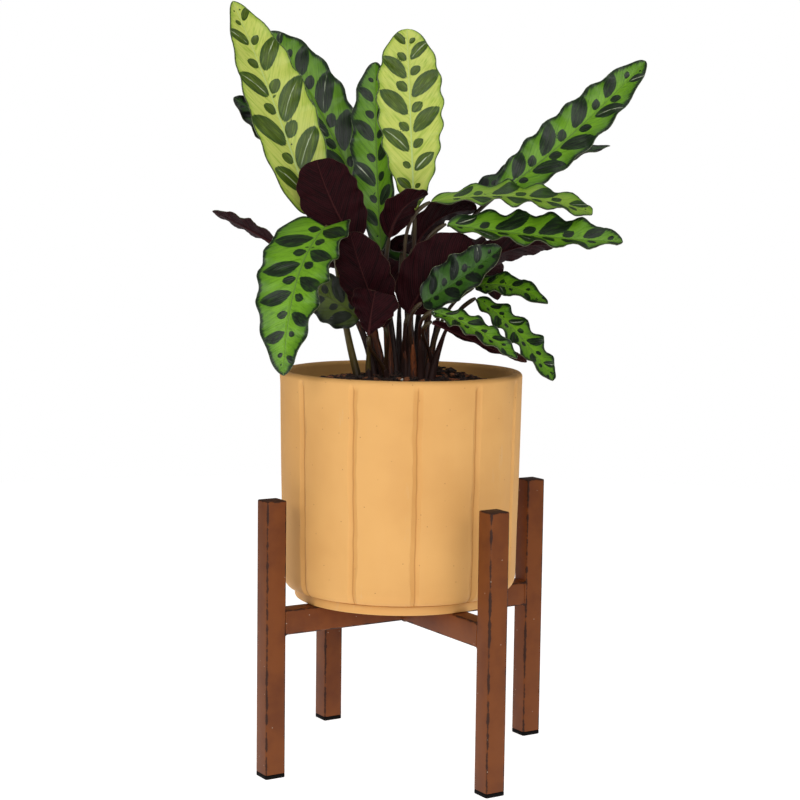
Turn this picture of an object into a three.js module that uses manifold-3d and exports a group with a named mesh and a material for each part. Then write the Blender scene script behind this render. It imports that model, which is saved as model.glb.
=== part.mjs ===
// A potted rattlesnake plant in a fluted ceramic pot, on a brown stand of square metal tube.
// Millimetres, +Z up. The front, from where the tall leaves show their upper sides, is -Y.
// The origin is under the middle of the whole object's bounding box, on the floor.
import * as THREE from "three";
import { mergeVertices } from "three/addons/utils/BufferGeometryUtils.js";
import Module from "manifold-3d";

// Driving dimensions
const TOUCH_GAP = 0.3;
const MERGE_DISTANCE = 1e-4;
const ARC_STEPS = 2;

const STAND = {
  legSide: 17.8,
  legHeight: 226.5,
  legFromCentre: 127.3,
  cornerRadius: 1.8,
  tubeWall: 1.4,
  topEdge: 1.0,
  turnDegrees: 32.4,
  braceTop: 137.3,
  braceHeight: 20.5,
  braceWidth: 16.4,
};

const FOOT = { height: 3.4, plugHeight: 11, plugPlay: 0.3, edge: 0.6 };

const POT = {
  rimRadius: 101,
  lowRadius: 97.6,
  height: 188.4,
  wall: 8,
  lipRadius: 3.6,
  cornerRadius: 12,
  footRadius: 86.8,
  footHeight: 8.5,
  footWidth: 9,
  footEdge: 1,
  underRecess: 4,
  recessSlope: 2,
  cornerPull: 0.6,
  floor: 11,
  fluteCount: 12,
  fluteWidth: 7.4,
  fluteDepth: 2.3,
  fluteTopGap: 7,
  fluteFade: 5,
  lipSwell: 0.4,
  firstFluteDegrees: -82,
  offsetFromStand: -6,
};

const SOIL = {
  crownDepth: 6.5,
  edgeDepth: 17,
  underside: 90,
  wallPlay: 0.7,
  lump: 1.1,
  rings: 7,
  sectors: 28,
};
const CROWN = {
  radiusX: 38,
  radiusY: 28,
  middleX: -1,
  depth: 24,
  sides: 20,
  sink: 0.5,
  rise: 1.2,
  topShare: 0.8,
};
const PETIOLE = {
  depth: 10,
  radius: 1.7,
  footRadius: 3.2,
  jointRadius: 2.1,
  endRadius: 1.1,
  bladeGap: 1.1,
  leastRise: 0.5,
  lean: 0.35,
  footPull: 0.5,
  topPull: 0.28,
  sides: 5,
  steps: 6,
};
const BLADE = {
  thickness: 0.9,
  stalkWidth: 2.4,
  columns: 4,
  rowsPerWave: 3,
  scallop: 1,
  sweep: 0.12,
  sweepFade: 0.1,
  sweepPower: 1.5,
  edgePower: 2,
  endPower: 0.6,
};

// Finishes, by eye from the stand, the pot and the plant
const FINISH = {
  paint: { color: 0x7c4226, roughness: 0.55, metalness: 0.2 },
  plastic: { color: 0x17171a, roughness: 0.7 },
  ceramic: { color: 0xe3b26c, roughness: 0.75 },
  soil: { color: 0x241a14, roughness: 1 },
  petiole: { color: 0x6b5530, roughness: 0.6 },
  bright: { color: 0x8fae4a, roughness: 0.45 },
  green: { color: 0x4f7a2a, roughness: 0.45 },
  shade: { color: 0x2a4a20, roughness: 0.45 },
  maroon: { color: 0x4a1d26, roughness: 0.5 },
};

// The leaves. root is where the stalk leaves the crown, in plan; base, middle and tip are points of the
// midrib, all in millimetres from the pot's axis at the height of the rim. face is the way the upper side
// looks, and faceTip the same at the tip where it differs. width is the widest, which lies at the share
// belly of the length, and taper is larger for pointed leaves. fold raises both halves, in degrees. wave is
// how high the edges wave, and waveOther the same for the second half. broader widens the first half at the
// second's cost, sweep draws the shoulders back beside the stalk, and scallop waves the edges sideways.
const LEAVES = {
  tall_left: {
    root: [-14, -2], base: [-75, -4, 128], middle: [-107, -2, 218], tip: [-142, 12, 300],
    face: [0.45, -1, 0.2],
    width: 57, belly: 0.4, taper: 1.15, fold: 14, waves: 7, wave: 1.8, finish: "bright",
    waveOther: 0.8, broader: 0.07, scallop: 0.8,
  },
  tall_left_back: {
    root: [-10, 10], base: [-38, 32, 148], middle: [-78, 36, 224], tip: [-116, 44, 278],
    face: [0.3, -1, 0.2], width: 54, belly: 0.45, taper: 1.2, fold: 14, waves: 6, wave: 2.2, finish: "green",
  },
  far_left: {
    root: [-17, 8], base: [-62, 22, 138], middle: [-101, 28, 189], tip: [-143, 34, 223],
    face: [0.5, -1, 0.4], width: 42, belly: 0.42, taper: 1.2, fold: 14, waves: 6, wave: 2.2, finish: "shade",
  },
  narrow_centre: {
    root: [-4, 8], base: [-18, 20, 98], middle: [-23, 18, 181], tip: [-25, 24, 253],
    face: [-0.45, -1, 0.1], width: 42, belly: 0.5, taper: 1.1, fold: 24, waves: 6, wave: 2.4, finish: "shade",
  },
  tall_centre: {
    root: [2, 1], base: [9, 2, 130], middle: [5, -4, 204], tip: [1, 8, 279],
    face: [0.05, -1, 0.2], width: 54, belly: 0.6, taper: 1.3, fold: 8, waves: 8, wave: 1.4, finish: "bright",
    scallop: 1.3,
  },
  young_left: {
    root: [-8, -4], base: [-40, -22, 106], middle: [-58, -28, 139], tip: [-70, -34, 171],
    face: [-0.1, 1, 0.3], width: 50, belly: 0.5, taper: 0.75, fold: 10, waves: 5, wave: 1.8, finish: "maroon",
  },
  young_low_left: {
    root: [-12, -10], base: [-14, -32, 38], middle: [-29, -42, 74], tip: [-42, -47, 114],
    face: [0.25, 1, 0.3], width: 45, belly: 0.55, taper: 1.1, fold: 10, waves: 5, wave: 1.5, finish: "maroon",
  },
  drooping_left: {
    root: [-33, 2], base: [-62, -46, 118], middle: [-83, -76, 74], tip: [-91, -97, 3],
    face: [-0.45, -0.6, 0.75], faceTip: [-0.4, -1, 0.2], bow: [-11, 3],
    width: 70, belly: 0.24, taper: 0.8, fold: 8, waves: 6, wave: 1.2, finish: "green",
    waveOther: 4.2, broader: 0.08, sweep: 0.42, scallop: 1.4,
  },
  thin_left: {
    root: [-21, 2], base: [-99, 2, 99], middle: [-127, -2, 115], tip: [-156, -8, 129],
    face: [0.1, 0.35, 1], width: 28, belly: 0.5, taper: 1.2, fold: 8, waves: 4, wave: 1, finish: "maroon",
  },
  olive_low_left: {
    root: [-24, -8], base: [-34, -20, 44], middle: [-57, -26, 59], tip: [-85, -32, 73],
    face: [-0.2, -1, 0.3], width: 40, belly: 0.42, taper: 1, fold: 8, waves: 4, wave: 1.2, finish: "green",
  },
  young_front: {
    root: [-10, -18], base: [-26, -58, 33], middle: [-24, -61, 50], tip: [-21, -63, 68],
    face: [0.2, 0.9, -0.3],
    width: 40, belly: 0.8, taper: 1.1, fold: 14, waves: 4, wave: 1.5, finish: "maroon",
  },
  curled_centre: {
    root: [-8, 0], base: [-11, -4, 110], middle: [0, -16, 134], tip: [20, -16, 145],
    face: [0.1, 0.5, 1], width: 30, belly: 0.5, taper: 1.1, fold: 12, waves: 4, wave: 1.2, finish: "maroon",
  },
  curled_right: {
    root: [6, 6], base: [11, 14, 104], middle: [32, 16, 127], tip: [61, 20, 132],
    face: [0, 0.6, 1], width: 40, belly: 0.5, taper: 1.1, fold: 12, waves: 4, wave: 1.5, finish: "maroon",
  },
  young_right: {
    root: [4, -8], base: [6, -26, 49], middle: [27, -34, 82], tip: [58, -36, 105],
    face: [0.1, 1, 0.3], width: 53, belly: 0.5, taper: 1, fold: 10, waves: 5, wave: 1.5, finish: "maroon",
  },
  front_right: {
    root: [10, -17], base: [17, -46, 59], middle: [46, -54, 79], tip: [78, -60, 104],
    face: [-0.2, -0.8, 0.7],
    width: 42, belly: 0.42, taper: 0.95, fold: 12, waves: 4, wave: 2, finish: "shade",
  },
  level_upper: {
    root: [9, -2], base: [23, -4, 139], middle: [91, -11, 144], tip: [154, -15, 131],
    face: [0.15, -0.42, 1],
    width: 44, belly: 0.6, taper: 0.85, fold: 8, waves: 5, wave: 3.4, finish: "bright",
  },
  level_lower: {
    root: [7, -10], base: [36, -26, 121], middle: [105, -36, 113], tip: [176, -44, 109],
    face: [0, -0.49, 0.87],
    width: 50, belly: 0.5, taper: 1.05, fold: 17, waves: 5.5, wave: 3.4, finish: "green",
  },
  tall_right: {
    root: [15, 8], base: [79, 20, 146], middle: [138, 24, 195], tip: [199, 28, 257],
    face: [-0.15, -1, 0.6],
    width: 45, belly: 0.45, taper: 1, fold: 14, waves: 7, wave: 2.4, finish: "green",
  },
  tall_right_back: {
    root: [11, 15], base: [53, 52, 140], middle: [109, 58, 167], tip: [175, 63, 188],
    face: [0, -0.3, 1], width: 44, belly: 0.45, taper: 1.3, fold: 12, waves: 6, wave: 2.2, finish: "shade",
  },
  under_level: {
    root: [21, -4], base: [56, 16, 85], middle: [93, 14, 102], tip: [126, 10, 104],
    face: [0.1, 0.8, 1], width: 36, belly: 0.45, taper: 1.1, fold: 8, waves: 4, wave: 1.2, finish: "maroon",
  },
  small_right: {
    root: [19, -11], base: [59, -34, 71], middle: [86, -40, 72], tip: [117, -46, 59],
    face: [0.15, -0.7, 1], width: 28, belly: 0.42, taper: 1.1, fold: 8, waves: 3, wave: 2, finish: "shade",
  },
  drooping_right: {
    root: [23, -14], base: [60, -44, 62], middle: [93, -54, 35], tip: [121, -66, -1],
    face: [0.35, -0.5, 0.8], width: 34, belly: 0.5, taper: 1, fold: 8, waves: 5, wave: 3, finish: "green",
  },
  low_right: {
    root: [15, -18], base: [25, -70, 53], middle: [57, -87, 41], tip: [90, -99, 19],
    face: [0.1, -0.35, 1], width: 32, belly: 0.45, taper: 1.05, fold: 8, waves: 5, wave: 2, finish: "shade",
  },
  low_right_under: {
    root: [24, -6], base: [25, -60, 44], middle: [62, -70, 29], tip: [99, -80, 15],
    face: [0.2, 0.5, 1], width: 28, belly: 0.5, taper: 1.1, fold: 8, waves: 3, wave: 1, finish: "maroon",
  },
  back_left: {
    root: [-18, 15], base: [-54, 40, 87], middle: [-77, 66, 86], tip: [-99, 92, 32],
    face: [-0.3, 0.8, 0.8], width: 46, belly: 0.42, taper: 1.1, fold: 8, waves: 5, wave: 2.4, finish: "shade",
  },
  back_centre: {
    root: [-2, 18], base: [-1, 44, 96], middle: [2, 74, 97], tip: [8, 108, 38],
    face: [0, 0.9, 0.7], width: 50, belly: 0.42, taper: 1.1, fold: 8, waves: 5, wave: 2.4, finish: "shade",
  },
  back_right: {
    root: [18, 16], base: [32, 34, 88], middle: [57, 62, 96], tip: [83, 92, 54],
    face: [0.3, 0.8, 0.8], width: 46, belly: 0.42, taper: 1.1, fold: 8, waves: 5, wave: 2.4, finish: "shade",
  },
};

const wasm = await Module();
wasm.setup();

// Solids and meshes

// A closed geometry as a solid that can be joined and cut.
function solidOf(geometry) {
  const bare = geometry.clone();
  bare.deleteAttribute("normal");
  bare.deleteAttribute("uv");
  const merged = mergeVertices(bare, MERGE_DISTANCE);
  const vertProperties = new Float32Array(merged.attributes.position.array);
  const triVerts = new Uint32Array(merged.index.array);
  return new wasm.Manifold(new wasm.Mesh({ numProp: 3, vertProperties, triVerts }));
}

// A solid as a geometry again.
function geometryOf(solid) {
  const made = solid.getMesh();
  const geometry = new THREE.BufferGeometry();
  geometry.setAttribute("position", new THREE.BufferAttribute(made.vertProperties, 3));
  geometry.setIndex(new THREE.BufferAttribute(made.triVerts, 1));
  geometry.computeVertexNormals();
  return geometry;
}

// A geometry from a list of points and a list of corner numbers.
function facets(points, corners) {
  const geometry = new THREE.BufferGeometry().setFromPoints(points);
  geometry.setIndex(corners);
  geometry.computeVertexNormals();
  return geometry;
}

function makeMesh(name, geometry, finish) {
  const mesh = new THREE.Mesh(geometry, new THREE.MeshStandardMaterial(finish));
  mesh.name = name;
  return mesh;
}

// A repeatable stream of numbers from 0 to 1.
function seededDraw(seed) {
  let state = seed;
  return () => {
    state = (state * 1664525 + 1013904223) % 4294967296;
    return state / 4294967296;
  };
}

// Rings of equal length joined in order, each end closed by a fan round its own middle point.
function ringStack(rings) {
  const sides = rings[0].length;
  const points = rings.flat();
  const corners = [];
  for (let ring = 0; ring + 1 < rings.length; ring++) {
    for (let side = 0; side < sides; side++) {
      const next = (side + 1) % sides;
      const a = ring * sides + side;
      const b = ring * sides + next;
      corners.push(a, b, b + sides, a, b + sides, a + sides);
    }
  }
  const ends = [rings[0], rings[rings.length - 1]];
  ends.forEach((ring, end) => {
    const middle = new THREE.Vector3();
    ring.forEach((point) => middle.addScaledVector(point, 1 / sides));
    const centre = points.push(middle) - 1;
    const first = end === 0 ? 0 : (rings.length - 1) * sides;
    for (let side = 0; side < sides; side++) {
      const next = (side + 1) % sides;
      const pair = end === 0 ? [first + next, first + side] : [first + side, first + next];
      corners.push(centre, ...pair);
    }
  });
  return facets(points, corners);
}

// Stand

function roundedRectangle(width, height, radius) {
  const shape = new THREE.Shape();
  const x = width / 2 - radius;
  const y = height / 2 - radius;
  shape.absarc(x, -y, radius, -Math.PI / 2, 0);
  shape.absarc(x, y, radius, 0, Math.PI / 2);
  shape.absarc(-x, y, radius, Math.PI / 2, Math.PI);
  shape.absarc(-x, -y, radius, Math.PI, 1.5 * Math.PI);
  return shape;
}

// A prism of a rounded rectangle, from z = 0 up, its end edges eased by edge.
function roundedPrism(width, height, radius, length, edge) {
  const geometry = new THREE.ExtrudeGeometry(roundedRectangle(width, height, radius), {
    depth: length - 2 * edge,
    bevelEnabled: edge > 0,
    bevelThickness: edge,
    bevelSize: edge,
    bevelOffset: -edge,
    bevelSegments: 1,
    curveSegments: ARC_STEPS,
  });
  return geometry.translate(0, 0, edge);
}

// A leg is a square tube, closed on top and open below, where the foot plugs in.
function legGeometry() {
  const { legSide, legHeight, cornerRadius, tubeWall, topEdge } = STAND;
  const length = legHeight - FOOT.height - TOUCH_GAP;
  const inside = legSide - 2 * tubeWall;
  const outer = solidOf(roundedPrism(legSide, legSide, cornerRadius, length, topEdge));
  const bore = roundedPrism(inside, inside, cornerRadius - tubeWall, length, 0);
  return geometryOf(outer.subtract(solidOf(bore.translate(0, 0, -tubeWall))));
}

// A foot is a plastic plug: a pad on the floor and a block inside the tube.
function footGeometry() {
  const { legSide, cornerRadius, tubeWall } = STAND;
  const inside = legSide - 2 * (tubeWall + FOOT.plugPlay);
  const pad = roundedPrism(legSide, legSide, cornerRadius, FOOT.height, FOOT.edge);
  const plug = roundedPrism(inside, inside, FOOT.edge, FOOT.plugHeight, 0);
  return geometryOf(solidOf(pad).add(solidOf(plug.translate(0, 0, FOOT.height / 2))));
}

// A brace is a tube lying along X with its middle at the origin.
function braceGeometry(length) {
  const { braceWidth, braceHeight, cornerRadius, tubeWall } = STAND;
  const section = roundedRectangle(braceHeight, braceWidth, cornerRadius);
  const inner = [braceHeight, braceWidth].map((side) => side - 2 * tubeWall);
  section.holes.push(roundedRectangle(...inner, cornerRadius - tubeWall));
  const geometry = new THREE.ExtrudeGeometry(section, {
    depth: length,
    bevelEnabled: false,
    curveSegments: ARC_STEPS,
  });
  return geometry.translate(0, 0, -length / 2).rotateY(Math.PI / 2);
}

function makeStand() {
  const stand = new THREE.Group();
  const { legSide, legFromCentre, braceTop, braceHeight, braceWidth } = STAND;
  const legNames = ["back_right", "back_left", "front_left", "front_right"];
  legNames.forEach((name, quarter) => {
    const corner = new THREE.Group();
    corner.rotation.z = (quarter * Math.PI) / 2;
    const leg = makeMesh("leg_" + name, legGeometry(), FINISH.paint);
    leg.position.set(legFromCentre, 0, FOOT.height + TOUCH_GAP);
    const foot = makeMesh("foot_" + name, footGeometry(), FINISH.plastic);
    foot.position.set(legFromCentre, 0, 0);
    corner.add(leg, foot);
    stand.add(corner);
  });
  const reach = legFromCentre - legSide / 2 - TOUCH_GAP;
  const braceMiddle = braceTop - braceHeight / 2;
  const long = makeMesh("brace_long", braceGeometry(2 * reach), FINISH.paint);
  long.position.z = braceMiddle;
  stand.add(long);
  const halfStart = braceWidth / 2 + TOUCH_GAP;
  const halfNames = ["brace_half_back", "brace_half_front"];
  halfNames.forEach((name, end) => {
    const half = makeMesh(name, braceGeometry(reach - halfStart), FINISH.paint);
    half.rotation.z = Math.PI / 2;
    half.position.set(0, ((1 - 2 * end) * (reach + halfStart)) / 2, braceMiddle);
    stand.add(half);
  });
  stand.rotation.z = THREE.MathUtils.degToRad(STAND.turnDegrees);
  return stand;
}

// Pot

// The angles of the pot's facets: each flute has its two edges and its bottom, and one point on the panel.
function potAngles() {
  const pitch = (2 * Math.PI) / POT.fluteCount;
  const half = POT.fluteWidth / 2 / POT.rimRadius;
  const panel = (pitch - 2 * half) / 2;
  const first = THREE.MathUtils.degToRad(POT.firstFluteDegrees - 90);
  const angles = [];
  for (let flute = 0; flute < POT.fluteCount; flute++) {
    const middle = first + flute * pitch;
    angles.push({ angle: middle - half, depth: 0 });
    angles.push({ angle: middle, depth: 1 });
    angles.push({ angle: middle + half, depth: 0 });
    angles.push({ angle: middle + half + panel, depth: 0 });
  }
  return angles;
}

// The pot's section from the middle of its underside, up the outside and down the inside. flute is the share
// of the flute's depth there.
function potSection() {
  const { rimRadius, lowRadius, height, wall, lipRadius, cornerRadius, footRadius, footHeight } = POT;
  const footInner = footRadius - POT.footWidth;
  const section = [];
  section.push({ r: footInner - POT.recessSlope, z: POT.underRecess, flute: 0 });
  section.push({ r: footInner, z: 0, flute: 0 });
  section.push({ r: footRadius - POT.footEdge, z: 0, flute: 0 });
  section.push({ r: footRadius, z: POT.footEdge, flute: 0 });
  section.push({ r: footRadius, z: footHeight, flute: 0 });
  const cornerSteps = 4;
  for (let step = 0; step <= cornerSteps; step++) {
    const turn = (step / cornerSteps) * (Math.PI / 2);
    const r = lowRadius - cornerRadius * (1 - Math.sin(turn)) * POT.cornerPull;
    const z = footHeight + cornerRadius * (1 - Math.cos(turn));
    section.push({ r, z, flute: step / cornerSteps });
  }
  const fluteTop = height - POT.fluteTopGap;
  section.push({ r: rimRadius - POT.lipSwell, z: fluteTop - POT.fluteFade, flute: 1 });
  section.push({ r: rimRadius, z: fluteTop, flute: 0 });
  const lipSteps = 3;
  for (let step = 0; step <= lipSteps; step++) {
    const turn = (step / lipSteps) * (Math.PI / 2);
    const r = rimRadius - lipRadius * (1 - Math.cos(turn));
    section.push({ r, z: height - lipRadius * (1 - Math.sin(turn)), flute: 0 });
  }
  for (let step = 0; step < lipSteps; step++) {
    const turn = (step / (lipSteps - 1)) * (Math.PI / 2);
    const r = rimRadius - wall + lipRadius * (1 - Math.sin(turn));
    section.push({ r, z: height - lipRadius * (1 - Math.cos(turn)), flute: 0 });
  }
  section.push({ r: lowRadius - wall, z: POT.floor + cornerRadius, flute: 0 });
  section.push({ r: lowRadius - wall - cornerRadius, z: POT.floor, flute: 0 });
  return section;
}

function potGeometry() {
  const angles = potAngles();
  const rings = potSection().map(({ r, z, flute }) =>
    angles.map(({ angle, depth }) => {
      const radius = r - depth * flute * POT.fluteDepth;
      return new THREE.Vector3(radius * Math.cos(angle), radius * Math.sin(angle), z);
    }),
  );
  return ringStack(rings);
}

// The inner radius of the pot at a height above its foot.
function potInsideRadius(z) {
  const share = (z - POT.floor - POT.cornerRadius) / (POT.height - POT.floor - POT.cornerRadius);
  return THREE.MathUtils.lerp(POT.lowRadius, POT.rimRadius, share) - POT.wall;
}

// Soil

// The soil's height above the pot's foot at a share of the way from its middle to the wall.
function soilHeight(share) {
  const fall = SOIL.edgeDepth - SOIL.crownDepth;
  return POT.height - SOIL.crownDepth - fall * share ** 2;
}

function soilGeometry() {
  const draw = seededDraw(7);
  const angleOf = (sector) => (sector / SOIL.sectors) * 2 * Math.PI;
  const sectors = [...Array(SOIL.sectors).keys()];
  const bottom = POT.height - SOIL.underside;
  const ringAt = (radius, z, lump) =>
    sectors.map((sector) => {
      const angle = angleOf(sector);
      const height = z + lump * (2 * draw() - 1);
      return new THREE.Vector3(radius * Math.cos(angle), radius * Math.sin(angle), height);
    });
  const wallTop = soilHeight(1);
  const widest = potInsideRadius(wallTop) - SOIL.wallPlay;
  const rings = [ringAt(potInsideRadius(bottom) - SOIL.wallPlay, bottom, 0), ringAt(widest, wallTop, 0)];
  for (let ring = SOIL.rings - 1; ring > 0; ring--) {
    const share = ring / SOIL.rings;
    rings.push(ringAt(widest * share, soilHeight(share), SOIL.lump));
  }
  const hole = crownPlug(TOUCH_GAP);
  return geometryOf(solidOf(ringStack(rings)).subtract(solidOf(hole)));
}

// Root crown, petioles and leaf blades

// The buried root crown, an upright plug with a plain oval outline that the stalks stand in.
function crownPlug(grow) {
  const ringAt = (z, share) =>
    [...Array(CROWN.sides).keys()].map((side) => {
      const angle = (side / CROWN.sides) * 2 * Math.PI;
      const x = CROWN.middleX + (CROWN.radiusX * share + grow) * Math.cos(angle);
      return new THREE.Vector3(x, (CROWN.radiusY * share + grow) * Math.sin(angle), z);
    });
  const edge = soilHeight(0) - CROWN.sink;
  const bottom = edge - CROWN.depth - grow;
  if (grow > 0) return ringStack([ringAt(bottom, 1), ringAt(POT.height, 1)]);
  return ringStack([ringAt(bottom, 1), ringAt(edge, 1), ringAt(edge + CROWN.rise, CROWN.topShare)]);
}

const vector = (numbers) => new THREE.Vector3(...numbers);

// A curve through a leaf's base, middle and tip.
function midrib({ base, middle, tip }) {
  const start = vector(base);
  const end = vector(tip);
  const pull = vector(middle).multiplyScalar(2).addScaledVector(start, -0.5).addScaledVector(end, -0.5);
  return new THREE.QuadraticBezierCurve3(start, pull, end);
}

// A petiole rises steeply from the crown and leans over to meet the blade along its midrib.
function petioleCurve(leaf) {
  const top = vector(leaf.base);
  const leaving = midrib(leaf).getTangent(0);
  top.addScaledVector(leaving, -PETIOLE.bladeGap);
  leaving.z = Math.max(leaving.z, PETIOLE.leastRise);
  leaving.normalize();
  const foot = new THREE.Vector3(leaf.root[0], leaf.root[1], -SOIL.crownDepth - PETIOLE.depth);
  const rise = top.distanceTo(foot);
  const { lean, footPull, topPull } = PETIOLE;
  const lower = foot.clone().add(new THREE.Vector3(leaf.root[0], leaf.root[1], 0).multiplyScalar(lean));
  lower.z += rise * footPull;
  const upper = top.clone().addScaledVector(leaving, -rise * topPull);
  const bow = new THREE.Vector3(...(leaf.bow ?? [0, 0]), 0);
  lower.add(bow);
  upper.add(bow);
  return new THREE.CubicBezierCurve3(foot, lower, upper, top);
}

// A round stalk along a curve, its radius given by the share of the way along.
function stalk(curve, radiusAt) {
  const { sides, steps } = PETIOLE;
  const frames = curve.computeFrenetFrames(steps, false);
  const rings = [...Array(steps + 1).keys()].map((step) => {
    const middle = curve.getPointAt(step / steps);
    const radius = radiusAt(step / steps);
    return [...Array(sides).keys()].map((side) => {
      const angle = (side / sides) * 2 * Math.PI;
      return middle
        .clone()
        .addScaledVector(frames.normals[step], radius * Math.cos(angle))
        .addScaledVector(frames.binormals[step], radius * Math.sin(angle));
    });
  });
  return ringStack(rings);
}

function petioleRadius(share) {
  if (share === 1) return PETIOLE.endRadius;
  const swelling = THREE.MathUtils.smoothstep(share, 0.7, 0.84);
  const low = THREE.MathUtils.lerp(PETIOLE.footRadius, PETIOLE.radius, Math.min(1, share * 2));
  return THREE.MathUtils.lerp(low, PETIOLE.jointRadius, swelling);
}

function crownGeometry() {
  const drop = new THREE.Matrix4().makeTranslation(0, 0, -POT.height);
  let crown = solidOf(crownPlug(0).applyMatrix4(drop));
  for (const leaf of Object.values(LEAVES)) {
    crown = crown.add(solidOf(stalk(petioleCurve(leaf), petioleRadius)));
  }
  return geometryOf(crown);
}

// Half the width of a blade at a share of its length.
function halfWidth({ width, belly, taper }, share) {
  const rising = (share / belly) ** (belly * taper);
  const falling = ((1 - share) / (1 - belly)) ** ((1 - belly) * taper);
  return Math.max(BLADE.stalkWidth / 2, (width / 2) * rising * falling);
}

// A blade: a thin sheet round its midrib, both halves folded up a little and waved at the edge.
function bladeGeometry(leaf) {
  const curve = midrib(leaf);
  const rows = Math.round(leaf.waves * BLADE.rowsPerWave);
  const { wave, waveOther = wave, broader = 0, sweep = BLADE.sweep, scallop = BLADE.scallop } = leaf;
  const faceBase = vector(leaf.face).normalize();
  const faceTip = vector(leaf.faceTip ?? leaf.face).normalize();
  const fold = THREE.MathUtils.degToRad(leaf.fold);
  const upper = [];
  const lower = [];
  for (let row = 0; row <= rows; row++) {
    const share = row / rows;
    const middle = curve.getPoint(share);
    const along = curve.getTangent(share);
    const facing = faceBase.clone().lerp(faceTip, share);
    facing.addScaledVector(along, -facing.dot(along)).normalize();
    const across = along.clone().cross(facing);
    const fade = Math.sin(Math.PI * share) ** BLADE.endPower;
    for (let column = 0; column <= BLADE.columns; column++) {
      const side = (2 * column) / BLADE.columns - 1;
      const phase = 2 * Math.PI * leaf.waves * share + (side > 0 ? Math.PI / 2 : 0);
      const out = Math.abs(side) ** BLADE.edgePower * fade;
      const half = halfWidth(leaf, share) * (1 + Math.sign(side) * broader);
      const reach = half + scallop * out * Math.cos(phase);
      const height = side > 0 ? wave : waveOther;
      const lift = Math.abs(side) * reach * Math.sin(fold) + height * out * Math.sin(phase);
      const point = middle.clone().addScaledVector(across, side * reach * Math.cos(fold));
      const back = sweep * Math.abs(side) ** BLADE.sweepPower * reach * Math.exp(-share / BLADE.sweepFade);
      point.addScaledVector(along, -back);
      upper.push(point.clone().addScaledVector(facing, lift + BLADE.thickness / 2));
      lower.push(point.clone().addScaledVector(facing, lift - BLADE.thickness / 2));
    }
  }
  return sheet(upper, lower, rows, BLADE.columns);
}

// A closed sheet between two grids of points that are split into triangles alike.
function sheet(upper, lower, rows, columns) {
  const points = [...upper, ...lower];
  const corners = [];
  const below = upper.length;
  const at = (row, column) => row * (columns + 1) + column;
  for (let row = 0; row < rows; row++) {
    for (let column = 0; column < columns; column++) {
      const a = at(row, column);
      const b = at(row, column + 1);
      const c = at(row + 1, column + 1);
      const d = at(row + 1, column);
      corners.push(a, b, c, a, c, d);
      corners.push(a + below, c + below, b + below, a + below, d + below, c + below);
    }
  }
  const rim = [];
  for (let column = 0; column < columns; column++) rim.push(at(0, column));
  for (let row = 0; row < rows; row++) rim.push(at(row, columns));
  for (let column = columns; column > 0; column--) rim.push(at(rows, column));
  for (let row = rows; row > 0; row--) rim.push(at(row, 0));
  rim.forEach((a, index) => {
    const b = rim[(index + 1) % rim.length];
    corners.push(a, b + below, b, a, a + below, b + below);
  });
  return facets(points, corners);
}

// Assembly

function makePlant() {
  const plant = new THREE.Group();
  plant.add(makeMesh("root_crown_and_petioles", crownGeometry(), FINISH.petiole));
  for (const [name, leaf] of Object.entries(LEAVES)) {
    plant.add(makeMesh("leaf_" + name, bladeGeometry(leaf), FINISH[leaf.finish]));
  }
  return plant;
}

function makePottedPlant() {
  const group = new THREE.Group();
  group.position.set(POT.offsetFromStand, 0, STAND.braceTop + TOUCH_GAP);
  const plant = makePlant();
  plant.position.z = POT.height;
  group.add(makeMesh("pot", potGeometry(), FINISH.ceramic));
  group.add(makeMesh("soil", soilGeometry(), FINISH.soil));
  group.add(plant);
  return group;
}

const root = new THREE.Group();
root.name = "potted_rattlesnake_plant";
root.add(makeStand(), makePottedPlant());

// The origin goes under the middle of the bounding box.
root.updateMatrixWorld(true);
const box = new THREE.Box3().setFromObject(root, true);
const middle = box.getCenter(new THREE.Vector3());
root.position.set(-middle.x, -middle.y, -box.min.z);

export default root;
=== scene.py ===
"""A potted rattlesnake plant on its square-legged stand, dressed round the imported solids.

Metres, +Z up, and -Y is the front. Leaf and stalk places are in millimetres from the pot's axis at the
height of its rim, as they were set out on the real plant, and are turned to metres where they are used.
"""

import logging
import math
from collections.abc import Callable, Sequence
from dataclasses import dataclass, field
from enum import Enum

import bmesh
import bpy
import numpy as np
from mathutils import Matrix, Vector


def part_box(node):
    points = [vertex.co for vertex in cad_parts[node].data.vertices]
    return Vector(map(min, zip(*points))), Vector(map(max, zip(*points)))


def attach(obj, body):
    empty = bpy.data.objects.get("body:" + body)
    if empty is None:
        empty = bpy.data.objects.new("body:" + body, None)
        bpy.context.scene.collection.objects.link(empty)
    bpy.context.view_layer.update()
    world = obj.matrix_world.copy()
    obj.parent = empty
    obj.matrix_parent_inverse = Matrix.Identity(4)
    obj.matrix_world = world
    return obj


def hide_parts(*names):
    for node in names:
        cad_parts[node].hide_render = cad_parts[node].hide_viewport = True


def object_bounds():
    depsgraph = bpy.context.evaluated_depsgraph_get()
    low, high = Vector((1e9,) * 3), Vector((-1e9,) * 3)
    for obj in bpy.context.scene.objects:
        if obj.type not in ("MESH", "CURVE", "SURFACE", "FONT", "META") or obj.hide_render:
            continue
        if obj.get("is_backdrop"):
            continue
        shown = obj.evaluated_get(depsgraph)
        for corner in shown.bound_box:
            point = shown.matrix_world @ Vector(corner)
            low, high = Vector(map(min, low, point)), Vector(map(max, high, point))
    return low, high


Piece = bpy.types.Object
Coat = bpy.types.Material
Node = bpy.types.Node
Socket = bpy.types.NodeSocket
Numbers = np.ndarray
Pair = tuple[float, float]
Place = tuple[float, float, float]

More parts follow.
